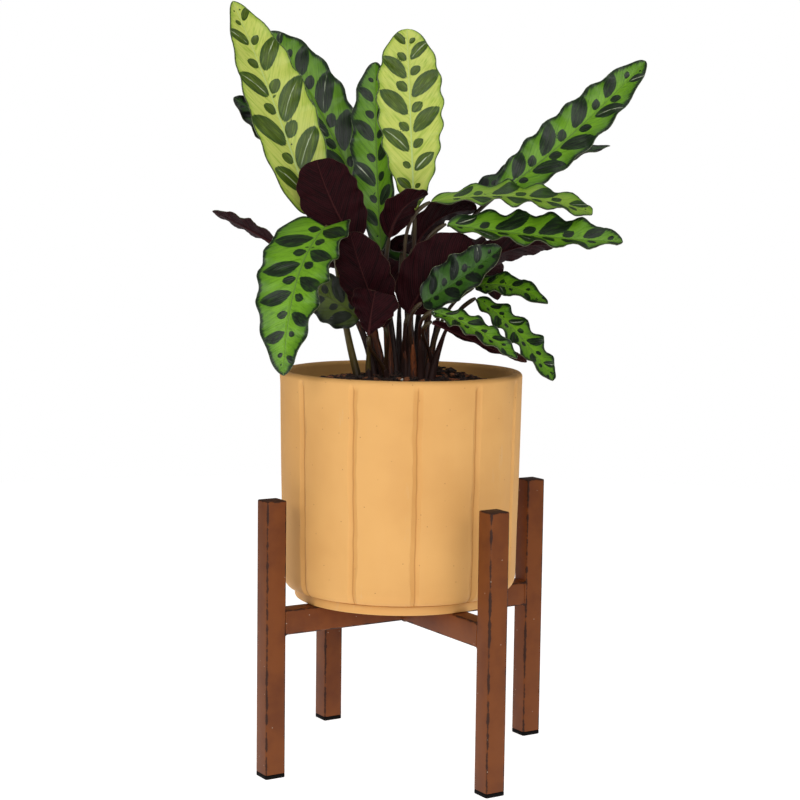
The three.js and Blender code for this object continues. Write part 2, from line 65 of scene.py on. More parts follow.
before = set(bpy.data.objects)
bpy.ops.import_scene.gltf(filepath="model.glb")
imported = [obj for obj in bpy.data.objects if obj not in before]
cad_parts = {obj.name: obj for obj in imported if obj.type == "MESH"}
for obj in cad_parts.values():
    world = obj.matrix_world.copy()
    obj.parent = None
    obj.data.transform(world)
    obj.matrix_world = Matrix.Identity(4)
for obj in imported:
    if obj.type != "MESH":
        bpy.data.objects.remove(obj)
cad_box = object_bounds()

log = logging.getLogger("potted_plant")
MM = 0.001
TINY = 0.01 * MM
BODY = "root"
WAVE_SCALE = 0.314  # the wave texture then has one wave in each unit


# Small tools for meshes and materials

def linear(colour: str, alpha: float = 1.0) -> tuple[float, float, float, float]:
    """Turns an sRGB hex colour to linear light.

    Args:
        colour: The colour as "#RRGGBB".
        alpha: The fourth number.

    Returns:
        Red, green, blue and alpha, the first three linear.
    """
    shares = [int(colour[i : i + 2], 16) / 255 for i in (1, 3, 5)]
    red, green, blue = (c / 12.92 if c <= 0.04045 else ((c + 0.055) / 1.055) ** 2.4 for c in shares)
    return (red, green, blue, alpha)


def per_metre(size_mm: float) -> float:
    """The texture scale that makes one feature size_mm wide."""
    return 1 / (size_mm * MM)


class Shader:
    """A material with one Principled shader, and the nodes that are added to it."""

    def __init__(self, name: str) -> None:
        """Makes the material, ready for its nodes.

        Args:
            name: The material's name.
        """
        self.material = bpy.data.materials.new(name)
        self.material.use_nodes = True
        self.tree = self.material.node_tree

    def feed(self, node: Node, values: dict) -> None:
        """Sets or links a node's inputs.

        Args:
            node: The node to feed.
            values: Input name or number, with the value or the socket that feeds it.
        """
        for key, value in values.items():
            if isinstance(value, Socket):
                self.tree.links.new(value, node.inputs[key])
            else:
                node.inputs[key].default_value = value

    def add(self, kind: str, values: dict | None = None, **settings: object) -> Node:
        """Adds one shader node.

        Args:
            kind: The node's type, without the word ShaderNode.
            values: Input name or number, with the value or the socket that feeds it.
            settings: The node's own properties.

        Returns:
            The new node.
        """
        node = self.tree.nodes.new("ShaderNode" + kind)
        for name, value in settings.items():
            setattr(node, name, value)
        self.feed(node, values or {})
        return node

    def place(self) -> Socket:
        """The point on the object, in metres."""
        return self.add("TexCoord").outputs["Object"]

    def attribute(self, name: str) -> Socket:
        """A number stored with the vertices."""
        return self.add("Attribute", attribute_name=name).outputs["Fac"]

    def maths(self, operation: str, *values: object) -> Socket:
        """One Math node on up to three values or sockets."""
        return self.add("Math", dict(enumerate(values)), operation=operation).outputs[0]

    def times(self, one: object, other: object) -> Socket:
        """The product of two values or sockets."""
        return self.maths("MULTIPLY", one, other)

    def without_sign(self, value: object) -> Socket:
        """The value's distance from zero."""
        return self.maths("ABSOLUTE", value)

    def blend(self, share: object, low: object, high: object, most: float = 1.0) -> Socket:
        """Mixes two colours, each a hex string or a socket, by a share from 0 to 1, scaled by most.

        Args:
            share: How much of the second colour.
            low: The first colour.
            high: The second colour.
            most: What the share is multiplied by.

        Returns:
            The mixed colour's socket.
        """
        values = {0: share if most == 1 else self.times(share, most)}
        for slot, colour in ((6, low), (7, high)):
            values[slot] = linear(colour) if isinstance(colour, str) else colour
        return self.add("Mix", values, data_type="RGBA").outputs[2]

    def step(self, value: Socket, low: float, high: float) -> Socket:
        """A smooth step of a value: 0 at low and 1 at high, which may lie below low."""
        values = {"Value": value, "From Min": low, "From Max": high, "To Min": 0.0, "To Max": 1.0}
        return self.add("MapRange", values, interpolation_type="SMOOTHSTEP").outputs[0]

    def spread(self, value: Socket, within: Pair, over: Pair) -> Socket:
        """Maps the range within of a value straight onto the range over."""
        values = {"Value": value, "From Min": within[0], "From Max": within[1]}
        return self.add("MapRange", {**values, "To Min": over[0], "To Max": over[1]}).outputs[0]

    def noise(self, place: Socket, scale: float, detail: float, roughness: float = 0.5) -> Socket:
        """A soft noise between 0 and 1."""
        values = {"Vector": place, "Scale": scale, "Detail": detail, "Roughness": roughness}
        return self.add("TexNoise", values).outputs[0]

    def combine(self, across: Socket, along: Socket) -> Socket:
        """A flat place, made of two numbers."""
        return self.add("CombineXYZ", {0: across, 1: along, 2: 0.0}).outputs[0]

    def ridges(self, place: Socket, apart: float, distortion: float) -> Socket:
        """Even waves across the place's first number, this far apart."""
        values = {"Vector": place, "Scale": WAVE_SCALE / apart, "Distortion": distortion, "Detail": 1.0}
        return self.add("TexWave", values).outputs["Fac"]

    def dots(self, place: Socket, size_mm: float) -> tuple[Socket, Sequence[Socket]]:
        """Scattered points: how far the nearest one is, and three numbers drawn for it."""
        found = self.add("TexVoronoi", {"Vector": place, "Scale": per_metre(size_mm)}, feature="F1")
        return found.outputs["Distance"], self.add("SeparateColor", {0: found.outputs["Color"]}).outputs

    def drawn_out(self, place: Socket, height: float) -> Socket:
        """The place with its height scaled, so that a noise on it runs lengthwise."""
        return self.add("Mapping", {"Vector": place, "Scale": (1.0, 1.0, height)}).outputs[0]

    def bump(self, strength: float, deep_mm: float, height: Socket) -> Socket:
        """The normal of a surface with fine relief."""
        values = {"Strength": strength, "Distance": deep_mm * MM, "Height": height}
        return self.add("Bump", values).outputs[0]

    def finish(self, colour: object, rough: object, normal: object = None, **fixed: object) -> Coat:
        """Feeds the Principled shader.

        Args:
            colour: The base colour.
            rough: The roughness, a number or a socket.
            normal: The surface's normal with its relief, if it has any.
            fixed: What else differs from the shader's own: ior, specular, glow_colour and glow.

        Returns:
            The finished material.
        """
        names = {"ior": "IOR", "specular": "Specular IOR Level"}
        names.update(glow_colour="Emission Color", glow="Emission Strength")
        values = {"Base Color": colour, "Roughness": rough}
        if normal is not None:
            values["Normal"] = normal
        values.update({names[key]: value for key, value in fixed.items()})
        self.feed(self.tree.nodes["Principled BSDF"], values)
        return self.material


def select_only(piece: Piece) -> None:
    """Makes one object the only selected one, and the active one.

    Args:
        piece: The object.
    """
    bpy.ops.object.select_all(action="DESELECT")
    piece.select_set(True)
    bpy.context.view_layer.objects.active = piece


def named(piece: Piece, name: str) -> Piece:
    """Gives an object and its mesh a name.

    Args:
        piece: The object.
        name: Its new name.

    Returns:
        The same object.
    """
    piece.name = name
    piece.data.name = name
    return piece


def points_of(piece: Piece) -> Numbers:
    """The places of a mesh's vertices, one row each.

    Args:
        piece: The mesh's object.

    Returns:
        The places, in metres.
    """
    flat = np.empty(len(piece.data.vertices) * 3, np.float32)
    piece.data.vertices.foreach_get("co", flat)
    return flat.reshape(-1, 3).astype(float)


def move_points(piece: Piece, points: Numbers) -> None:
    """Gives a mesh's vertices new places."""
    piece.data.vertices.foreach_set("co", points.astype(np.float32).ravel())
    piece.data.update()


def set_attribute(piece: Piece, name: str, values: Numbers | float) -> None:
    """Stores a number for each vertex, or one for all, for the piece's material to read.

    Args:
        piece: The piece.
        name: The number's name.
        values: The numbers.
    """
    attribute = piece.data.attributes.new(name, "FLOAT", "POINT")
    each = np.broadcast_to(np.asarray(values, np.float32), len(piece.data.vertices))
    attribute.data.foreach_set("value", np.ascontiguousarray(each))


def unit_grid(name: str, columns: int, rows: int) -> tuple[Piece, Numbers, Numbers]:
    """Adds a flat grid that is then shaped point by point.

    Args:
        name: The piece's name.
        columns: Faces across.
        rows: Faces along.

    Returns:
        The object, and each vertex's share of the way across and along.
    """
    bpy.ops.object.select_all(action="DESELECT")
    bpy.ops.mesh.primitive_grid_add(x_subdivisions=columns, y_subdivisions=rows, size=1)
    piece = named(bpy.context.active_object, name)
    places = points_of(piece)
    return piece, places[:, 0] + 0.5, places[:, 1] + 0.5


def apply_modifiers(piece: Piece) -> None:
    """Applies every modifier of a piece, in order.

    Args:
        piece: The piece.
    """
    select_only(piece)
    for modifier in list(piece.modifiers):
        bpy.ops.object.modifier_apply(modifier=modifier.name)


def merge_and_face_out(piece: Piece, distance: float = 1e-6) -> None:
    """Merges doubled points, as at a seam or a pole, and turns the faces outwards.

    Args:
        piece: The piece.
        distance: Points closer than this are merged.
    """
    select_only(piece)
    bpy.ops.object.mode_set(mode="EDIT")
    bpy.ops.mesh.select_all(action="SELECT")
    bpy.ops.mesh.remove_doubles(threshold=distance)
    bpy.ops.mesh.dissolve_degenerate(threshold=distance)
    bpy.ops.mesh.select_all(action="SELECT")
    bpy.ops.mesh.normals_make_consistent(inside=False)
    bpy.ops.object.mode_set(mode="OBJECT")


def smooth(piece: Piece, angle_degrees: float = 180) -> None:
    """Shades a piece smoothly, except over edges sharper than the angle.

    Args:
        piece: The piece.
        angle_degrees: The angle.
    """
    select_only(piece)
    if angle_degrees < 180:
        bpy.ops.object.shade_smooth_by_angle(angle=math.radians(angle_degrees))
    else:
        bpy.ops.object.shade_smooth()


def select_in_edit(piece: Piece, kind: str, wanted: Callable[[object], bool]) -> None:
    """Selects the edges or faces of a piece in edit mode that a test accepts, and no others.

    Args:
        piece: The piece being edited.
        kind: "edges" or "faces".
        wanted: The test.
    """
    bpy.ops.mesh.select_mode(type="EDGE" if kind == "edges" else "FACE")
    bpy.ops.mesh.select_all(action="DESELECT")
    mesh = bmesh.from_edit_mesh(piece.data)
    for item in getattr(mesh, kind):
        if wanted(item):
            item.select_set(True)
    mesh.select_flush_mode()
    bmesh.update_edit_mesh(piece.data)


def join_pieces(parts: list[Piece], name: str) -> Piece:
    """Joins several meshes into one named piece.

    Args:
        parts: The meshes.
        name: The piece's name.

    Returns:
        The piece.
    """
    bpy.ops.object.select_all(action="DESELECT")
    for part in parts:
        part.select_set(True)
    bpy.context.view_layer.objects.active = parts[0]
    bpy.ops.object.join()
    return named(bpy.context.active_object, name)


def settle(piece: Piece, slot: str, *nodes: str) -> None:
    """Puts a finished piece on the body, and hides the solids that it stands for, if any.

    Args:
        piece: The piece.
        slot: Its finish slot; not used.
        nodes: The solids, if it stands for any.
    """
    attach(piece, BODY)
    if nodes:
        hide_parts(*nodes)
    log.info("%s: %d faces", piece.name, len(piece.data.polygons))


def dress(piece: Piece, coat: Coat, slot: str, *nodes: str, angle_degrees: float | None = 180) -> None:
    """Shades, coats and settles a finished piece.

    Args:
        piece: The piece.
        coat: Its material.
        slot: Its finish slot.
        nodes: The solids that it stands for.
        angle_degrees: Edges sharper than this stay sharp, and all of them do where it is None.
    """
    if angle_degrees is not None:
        smooth(piece, angle_degrees)
    piece.data.materials.append(coat)
    settle(piece, slot, *nodes)


def wander(places: Numbers, seed: int, waves: int = 4) -> Numbers:
    """A smooth uneven line between about -1 and 1, the same each time.

    Args:
        places: Where along the line, in turns of its longest wave.
        seed: Which line.
        waves: How many waves it is made of.

    Returns:
        The line's height at each place.
    """
    draw = np.random.default_rng(seed)
    total = np.zeros_like(places)
    for wave in range(1, waves + 1):
        total += np.sin(2 * np.pi * (places * wave * draw.uniform(0.8, 1.2) + draw.random())) / wave**0.7
    return total / 1.8


# Finishes

@dataclass(frozen=True)
class SlipCeramic:
    """Slip-cast earthenware under a matte mustard engobe: a dry, even skin with a fine grain, a few
    pinholes and specks, slow changes of tone where the engobe lay thicker, and faint grey scuffs."""

    body: str = "#D8A35D"
    thick: str = "#D09A55"
    # Painted shade: the colour laid along each flute's bottom line.
    groove: str = "#A8702F"
    speck: str = "#8F5A2C"
    scuff: str = "#CDB08A"
    grain_mm: float = 0.7
    speck_mm: float = 7.0
    tone_mm: float = 70.0
    scuff_mm: float = 16.0
    tone_range: Pair = (0.35, 0.68)
    speck_edge: Pair = (0.075, 0.04)
    speck_choice: Pair = (0.52, 0.5)
    scuff_range: Pair = (0.6, 0.75)
    roughness: Pair = (0.62, 0.8)

    def material(self) -> Coat:
        """The finished material."""
        made = Shader("matte_engobe_earthenware")
        place = made.place()
        tone = made.noise(place, per_metre(self.tone_mm), 3.0)
        colour = made.blend(made.step(tone, *self.tone_range), self.body, self.thick)
        # Painted shade: darker along each flute's bottom line, mostly the shade in the crease, partly
        # the engobe's own darker colour there.
        depth = made.attribute("groove")
        colour = made.blend(depth, colour, self.groove, 0.75)
        away, drawn = made.dots(place, self.speck_mm)
        pin = made.times(made.step(away, *self.speck_edge), made.step(drawn[0], *self.speck_choice))
        colour = made.blend(pin, colour, self.speck, 0.75)
        stretched = made.drawn_out(place, 0.25)
        rub = made.noise(stretched, per_metre(self.scuff_mm), 6.0, 0.7)
        colour = made.blend(made.step(rub, *self.scuff_range), colour, self.scuff, 0.35)
        grain = made.noise(place, per_metre(self.grain_mm), 2.0)
        height = made.maths("SUBTRACT", made.times(grain, 0.35), pin)
        normal = made.bump(0.35, 0.25, height)
        rough = made.spread(rub, (0.3, 0.75), self.roughness)
        return made.finish(colour, rough, normal)


@dataclass(frozen=True)
class StandPaint:
    """Satin brown enamel brushed on square steel tube: warm brown, thin and worn to a dark base at the
    corners, with small pale nicks. Each bar measures the way to its corners along the stand's own axes."""

    paint: str = "#733D17"
    shade: str = "#613114"
    worn: str = "#221714"
    nick: str = "#C9B7A4"
    wear_mm: float = 1.5
    blotch_mm: float = 9.0
    nick_mm: float = 6.0
    tone_range: Pair = (0.35, 0.7)
    nick_edge: Pair = (0.1, 0.05)
    nick_choice: Pair = (0.24, 0.22)
    ragged_mm: Pair = (-5.5, 3.1)

    def material(self, name: str, corner: Callable[[Shader], Socket]) -> Coat:
        """The finished material.

        Args:
            name: The material's name.
            corner: Makes the socket that gives the distance to the nearest corner, in metres.

        Returns:
            The material.
        """
        made = Shader(name)
        place = made.place()
        tone = made.noise(place, per_metre(self.blotch_mm * 4), 4.0, 0.6)
        colour = made.blend(made.step(tone, *self.tone_range), self.paint, self.shade)
        patch = made.noise(place, per_metre(self.blotch_mm), 6.0, 0.65)
        ragged = made.maths("MULTIPLY_ADD", patch, self.ragged_mm[0] * MM, self.ragged_mm[1] * MM)
        edge = made.maths("ADD", corner(made), ragged)
        worn = made.step(edge, (self.wear_mm + 0.35) * MM, (self.wear_mm - 0.35) * MM)
        colour = made.blend(worn, colour, self.worn, 0.85)
        away, drawn = made.dots(place, self.nick_mm)
        nick = made.times(made.step(away, *self.nick_edge), made.step(drawn[1], *self.nick_choice))
        colour = made.blend(nick, colour, self.nick, 0.5)
        height = made.maths("SUBTRACT", made.times(patch, 0.5), worn)
        normal = made.bump(0.4, 0.2, height)
        rough = made.maths("MULTIPLY_ADD", worn, 0.2, 0.48)
        return made.finish(colour, rough, normal, specular=0.2)


@dataclass(frozen=True)
class MouldedPlastic:
    """Black polyethylene, moulded with a fine spark texture, dusty grey low down where it meets the
    floor."""

    colour: str = "#080707"
    dust: str = "#15100E"
    grain_mm: float = 0.5
    dust_range: Pair = (2.2 * MM, 0.3 * MM)

    def material(self) -> Coat:
        """The finished material."""
        made = Shader("black_polyethylene")
        place = made.place()
        height = made.add("SeparateXYZ", {0: place}).outputs[2]
        grain = made.noise(place, per_metre(self.grain_mm), 2.0)
        low = made.step(height, *self.dust_range)
        normal = made.bump(0.3, 0.1, grain)
        colour = made.blend(low, self.colour, self.dust, 0.5)
        return made.finish(colour, 0.7, normal, specular=0.08)


@dataclass(frozen=True)
class PottingMix:
    """Damp bark and peat: nearly black crumbs with brown fibre, rough all over."""

    wet: str = "#120B08"
    peat: str = "#3A2418"
    bark: str = "#8A5430"
    crumb_mm: float = 2.2
    peat_range: Pair = (0.4, 0.62)
    bark_range: Pair = (0.54, 0.66)

    def material(self) -> Coat:
        """The finished material."""
        made = Shader("bark_and_peat")
        place = made.place()
        crumb = made.noise(place, per_metre(self.crumb_mm), 4.0, 0.7)
        colour = made.blend(made.step(crumb, *self.peat_range), self.wet, self.peat)
        lump = made.noise(place, per_metre(3 * self.crumb_mm), 2.0)
        colour = made.blend(made.step(lump, *self.bark_range), colour, self.bark)
        normal = made.bump(0.8, 0.8, crumb)
        return made.finish(colour, 0.92, normal)


@dataclass(frozen=True)
class Perlite:
    """Expanded volcanic glass: chalk-white, porous and quite matte."""

    colour: str = "#DAD6CC"
    pore: str = "#9A948A"
    pore_range: Pair = (0.35, 0.6)
    pore_mm: float = 0.6

    def material(self) -> Coat:
        """The finished material."""
        made = Shader("perlite")
        place = made.place()
        pores = made.noise(place, per_metre(self.pore_mm), 2.0)
        normal = made.bump(0.5, 0.2, pores)
        colour = made.blend(made.step(pores, *self.pore_range), self.pore, self.colour)
        return made.finish(colour, 0.9, normal)


class LeafTone(Enum):
    """Lit and shaded copies of the blade's colours, which also differ by each blade's own age: BRIGHT
    paints light shining through a pale blade, and DEEP and OLIVE paint shade on blades that lie behind
    others or face away from the light. Each holds ground, deep ground, marks, margin and midrib, and the
    margin's width in mm."""

    BRIGHT = ("#B9C25C", "#84A22E", "#3E500A", "#2C4410", "#AFC478", 1.0)
    LIGHT = ("#86A830", "#5A861C", "#223A12", "#1E3610", "#90AE4A", 1.8)
    GREEN = ("#6C9C1E", "#426E12", "#131E10", "#13260E", "#587A2E", 3.0)
    DEEP = ("#355C18", "#1E3E10", "#0B130D", "#0C170A", "#40602A", 3.4)
    OLIVE = ("#4E5F14", "#26330F", "#141B0C", "#10190A", "#46501E", 3.6)


@dataclass(frozen=True)
class LeafUpper:
    """The upper side of a prayer-plant blade: a waxy, satin skin, yellow-green to deep green, with dark
    lens marks along the side veins, a darker margin that feathers inwards, and a midrib. A painted
    highlight, a pale line, lies in the crease of some marks, and the skin is quilted between its veins."""

    tone: LeafTone
    # Painted highlight: the pale colour laid as a glint streak in the crease of some marks.
    painted_glint: str = "#DCE8C4"
    rim_line: str = "#8C9A72"
    vein_mm: float = 1.7
    feather_mm: float = 3.2
    vein_squeeze: float = 0.12
    deep_range: Pair = (0.42, 0.78)
    shade_bands: Pair = (5, 0.8)
    margin_bands: Pair = (1.5, 0.5)
    mark_edge: Pair = (0.1, -0.06)
    mark_core: Pair = (-0.75, -0.1)
    mark_streaks: Pair = (0.45, 0.75)
    painted_glint_edge: Pair = (0.6, 0.0)
    painted_glint_core: Pair = (-0.1, -0.5)
    painted_glint_breaks: Pair = (0.36, 0.56)
    rib_edge: Pair = (0.9, 0.5)
    rim_edge: Pair = (0.45, 0.2)
    rim_breaks: Pair = (0.4, 0.6)
    roughness: Pair = (0.26, 0.4)

    def material(self) -> Coat:
        """The finished material, which reads the marks and veins stored with the blade's vertices."""
        ground, deep, mark_colour, margin_colour, rib_colour, band_mm = self.tone.value
        made = Shader("blade_upper_" + self.tone.name.lower())
        vein = made.attribute("vein")
        rib = made.without_sign(made.attribute("rib"))
        margin = made.attribute("margin")
        mark = made.attribute("mark")
        crease = made.without_sign(made.attribute("crease"))
        lit = made.attribute("lit")
        along_vein = made.combine(vein, made.times(rib, self.vein_squeeze))
        brush = made.noise(along_vein, 1 / self.feather_mm, 5.0, 0.6)
        fine = made.noise(along_vein, 1 / self.vein_mm, 2.0)
        colour = made.blend(made.step(brush, *self.deep_range), ground, deep)
        toward_edge = made.step(margin, *(reach * band_mm for reach in self.shade_bands))
        colour = made.blend(toward_edge, colour, deep, 0.7)
        uneven = made.maths("MULTIPLY_ADD", brush, -2.2 * band_mm, 1.1 * band_mm)
        band = made.maths("ADD", margin, uneven)
        outer = made.step(band, *(reach * band_mm for reach in self.margin_bands))
        colour = made.blend(outer, colour, margin_colour)
        ragged = made.maths("MULTIPLY_ADD", fine, 0.24, -0.12)
        inside = made.step(made.maths("ADD", mark, ragged), *self.mark_edge)
        shaded = made.blend(made.step(mark, *self.mark_core), mark_colour, margin_colour)
        shaded = made.blend(made.step(fine, *self.mark_streaks), shaded, deep, 0.3)
        colour = made.blend(inside, colour, shaded)
        # Painted highlight: a pale streak along the crease of each mark whose lit number is set, broken
        # up by noise.
        wobbly = made.maths("MULTIPLY_ADD", fine, 1.6, made.maths("SUBTRACT", crease, 0.8))
        streak = made.times(made.step(wobbly, *self.painted_glint_edge), made.step(mark, *self.painted_glint_core))
        streak = made.times(streak, lit)
        broken = made.times(streak, made.step(brush, *self.painted_glint_breaks))
        colour = made.blend(broken, colour, self.painted_glint, 0.6)
        colour = made.blend(made.step(rib, *self.rib_edge), colour, rib_colour)
        outline = made.times(made.step(margin, *self.rim_edge), made.step(brush, *self.rim_breaks))
        colour = made.blend(outline, colour, self.rim_line, 0.7)
        veins = made.ridges(along_vein, self.vein_mm, 1.5)
        ridge = made.maths("MULTIPLY_ADD", brush, 0.9, made.times(veins, 0.4))
        normal = made.bump(0.55, 0.3, ridge)
        rough = made.spread(fine, (0.3, 0.7), self.roughness)
        return made.finish(colour, rough, normal, specular=0.28)


@dataclass(frozen=True)
class LeafUnder:
    """The under side of a prayer-plant blade: matte maroon, darker between the side veins, with a dull
    midrib."""

    ground: str = "#24070B"
    dark: str = "#0E0304"
    vein: str = "#3E131B"
    rib: str = "#3A1A1A"
    edge: str = "#3E2A22"
    vein_mm: float = 2.4
    vein_squeeze: float = 0.1
    feather_mm: float = 4.0
    dark_range: Pair = (0.35, 0.7)
    vein_edge: Pair = (0.8, 0.98)
    rib_edge: Pair = (1.1, 0.6)
    rim_edge: Pair = (0.5, 0.15)

    def material(self) -> Coat:
        """The finished material."""
        made = Shader("blade_under_maroon")
        vein = made.attribute("vein")
        rib = made.without_sign(made.attribute("rib"))
        margin = made.attribute("margin")
        along_vein = made.combine(vein, made.times(rib, self.vein_squeeze))
        brush = made.noise(along_vein, 1 / self.feather_mm, 4.0, 0.6)
        colour = made.blend(made.step(brush, *self.dark_range), self.ground, self.dark)
        veins = made.ridges(along_vein, self.vein_mm, 1.0)
        thin = made.step(veins, *self.vein_edge)
        colour = made.blend(thin, colour, self.vein, 0.4)
        colour = made.blend(made.step(rib, *self.rib_edge), colour, self.rib)
        colour = made.blend(made.step(margin, *self.rim_edge), colour, self.edge)
        normal = made.bump(0.5, 0.3, veins)
        return made.finish(colour, 0.6, normal, specular=0.06)


@dataclass(frozen=True)
class LeafEdge:
    """The cut-thin rim of a blade, dry and paler than both its sides."""

    colour: str = "#4A5230"
    dry: str = "#3C2620"
    dry_mm: float = 7
    dry_range: Pair = (0.4, 0.65)

    def material(self) -> Coat:
        """The finished material."""
        made = Shader("blade_rim")
        place = made.place()
        dry = made.noise(place, per_metre(self.dry_mm), 2.0)
        colour = made.blend(made.step(dry, *self.dry_range), self.colour, self.dry)
        return made.finish(colour, 0.5)


@dataclass(frozen=True)
class StalkSkin:
    """The skin of a leaf stalk: smooth and waxy, maroon to olive, ribbed lengthwise, paler at the
    swollen joint under the blade."""

    olive: str = "#5E5020"
    maroon: str = "#2C130C"
    foot: str = "#1E0F0B"
    joint: str = "#40371A"
    rib_mm: float = 0.8
    maroon_range: Pair = (0.2, 0.8)
    foot_range: Pair = (0.16, 0.02)
    joint_range: Pair = (0.8, 0.9)
    rib_stretch: float = 0.06

    def material(self) -> Coat:
        """The finished material."""
        made = Shader("leaf_stalk")
        tint = made.attribute("tint")
        share = made.attribute("share")
        place = made.place()
        long = made.drawn_out(place, self.rib_stretch)
        streak = made.noise(long, per_metre(self.rib_mm), 2.0)
        mixed = made.maths("MULTIPLY_ADD", streak, 0.5, made.maths("SUBTRACT", tint, 0.25))
        colour = made.blend(made.step(mixed, *self.maroon_range), self.olive, self.maroon)
        colour = made.blend(made.step(share, *self.foot_range), colour, self.foot)
        colour = made.blend(made.step(share, *self.joint_range), colour, self.joint, 0.6)
        normal = made.bump(0.4, 0.15, streak)
        return made.finish(colour, 0.42, normal, ior=1.45)


@dataclass(frozen=True)
class DrySheath:
    """The papery old sheaths round the stalk feet: orange-brown, split lengthwise, darker where they are
    damp."""

    dry: str = "#8E4A20"
    damp: str = "#2C130C"
    fibre_mm: float = 0.9
    dry_range: Pair = (0.3, 0.62)
    fibre_stretch: float = 0.08

    def material(self) -> Coat:
        """The finished material."""
        made = Shader("dry_sheath")
        place = made.place()
        height = made.attribute("share")
        long = made.drawn_out(place, self.fibre_stretch)
        fibre = made.noise(long, per_metre(self.fibre_mm), 3.0, 0.6)
        wet = made.maths("ADD", made.times(height, 0.8), made.times(fibre, 0.6))
        wet = made.maths("SUBTRACT", wet, made.times(made.attribute("tint"), 0.35))
        colour = made.blend(made.step(wet, *self.dry_range), self.damp, self.dry)
        normal = made.bump(0.6, 0.25, fibre)
        return made.finish(colour, 0.65, normal)


# Stand

@dataclass
class Stand:
    """Four square legs on plastic feet, held by a long brace and two half braces welded to it."""

    leg_side: float = 17.8 * MM
    corner: float = 1.8 * MM
    wall: float = 1.4 * MM
    top_edge: float = 1.0 * MM
    foot_height: float = 3.4 * MM
    plug_height: float = 11 * MM
    plug_play: float = 0.3 * MM
    foot_edge: float = 0.6 * MM
    touch_gap: float = 0.3 * MM
    turn_degrees: float = 32.4
    brace_width: float = 16.4 * MM
    brace_height: float = 20.5 * MM
    bead: float = 1.5 * MM
    corner_steps: int = 5
    sharp_degrees: float = 40
    leg_names: tuple[str, ...] = ("back_right", "back_left", "front_left", "front_right")

    def __post_init__(self) -> None:
        """Reads the stand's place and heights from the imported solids."""
        lows, highs = zip(*(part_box("foot_" + name) for name in self.leg_names))
        self.centre = (sum(lows, Vector()) + sum(highs, Vector())) / (2 * len(lows))
        self.centre.z = 0
        self.leg_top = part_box("leg_back_right")[1].z
        self.brace_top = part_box("brace_long")[1].z
        foot_low, foot_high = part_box("foot_back_right")
        foot = (foot_low + foot_high) / 2
        self.reach = (Vector((foot.x, foot.y, 0)) - self.centre).length
        self.leg_inside = self.reach - self.leg_side / 2 - self.touch_gap

    def quarter(self, number: float) -> Matrix:
        """The turn and move from the stand's middle to one of its four sides."""
        turn = Matrix.Rotation(math.radians(self.turn_degrees) + number * math.pi / 2, 4, "Z")
        return Matrix.Translation(self.centre) @ turn

    def bar(self, name: str, size: Place, axis: int, corner: float) -> Piece:
        """A square bar with rounded long edges, its middle at the origin.

        Args:
            name: The piece's name.
            size: Its length along X, Y and Z.
            axis: The number of the long axis.
            corner: The radius of the long edges.

        Returns:
            The bar, in edit mode.
        """
        bpy.ops.object.select_all(action="DESELECT")
        bpy.ops.mesh.primitive_cube_add(size=1)
        bar = named(bpy.context.active_object, name)
        bpy.ops.object.mode_set(mode="EDIT")
        bpy.ops.transform.resize(value=size)

        def is_long(edge: bmesh.types.BMEdge) -> bool:
            """Whether an edge runs along the bar."""
            run = edge.verts[0].co - edge.verts[1].co
            return abs(run[axis]) > 0.5 * size[axis]

        select_in_edit(bar, "edges", is_long)
        bpy.ops.mesh.bevel(offset=corner, segments=self.corner_steps, affect="EDGES")
        return bar

    def build_leg(self, quarter: int, paint: Coat) -> None:
        """One leg: a square tube, closed on top with an eased edge, and open below.

        Args:
            quarter: Which of the four.
            paint: Its material.
        """
        name = self.leg_names[quarter]
        bottom = self.foot_height + self.touch_gap
        length = self.leg_top - bottom
        leg = self.bar("leg_tube_" + name, (self.leg_side, self.leg_side, length), 2, self.corner)
        select_in_edit(leg, "edges", lambda e: all(v.co.z > length / 2 - 1e-6 for v in e.verts))
        bpy.ops.mesh.bevel(offset=self.top_edge, segments=3, affect="EDGES")
        select_in_edit(leg, "faces", lambda f: f.normal.z < -0.9)
        bpy.ops.mesh.inset(thickness=self.wall)
        bpy.ops.mesh.extrude_region_move(TRANSFORM_OT_translate={"value": (0, 0, length - self.wall)})
        bpy.ops.mesh.select_all(action="SELECT")
        bpy.ops.transform.translate(value=(self.reach, 0, bottom + length / 2))
        bpy.ops.object.mode_set(mode="OBJECT")
        leg.data.transform(self.quarter(quarter))
        dress(leg, paint, "stand_paint", "leg_" + name, angle_degrees=self.sharp_degrees)

    def build_foot(self, quarter: int, plastic: Coat) -> None:
        """One foot: a plastic pad on the floor with a plug that goes up into the tube.

        Args:
            quarter: Which of the four.
            plastic: Its material.
        """
        name = self.leg_names[quarter]
        size = (self.leg_side, self.leg_side, self.foot_height)
        foot = self.bar("foot_cap_" + name, size, 2, self.corner)
        half = self.foot_height / 2
        select_in_edit(foot, "edges", lambda e: abs(e.verts[0].co.z - e.verts[1].co.z) < 1e-6)
        bpy.ops.mesh.bevel(offset=self.foot_edge, segments=3, affect="EDGES")

        def is_top(face: bmesh.types.BMFace) -> bool:
            """Whether a face is the pad's flat top."""
            return face.normal.z > 0.9 and face.calc_center_median().z > half - TINY

        select_in_edit(foot, "faces", is_top)
        bpy.ops.mesh.inset(thickness=self.wall + self.plug_play - self.foot_edge)
        plug = self.plug_height - half
        bpy.ops.mesh.extrude_region_move(TRANSFORM_OT_translate={"value": (0, 0, plug)})
        bpy.ops.mesh.select_all(action="SELECT")
        bpy.ops.transform.translate(value=(self.reach, 0, half))
        bpy.ops.object.mode_set(mode="OBJECT")
        foot.data.transform(self.quarter(quarter))
        dress(foot, plastic, "foot_plastic", "foot_" + name, angle_degrees=self.sharp_degrees)

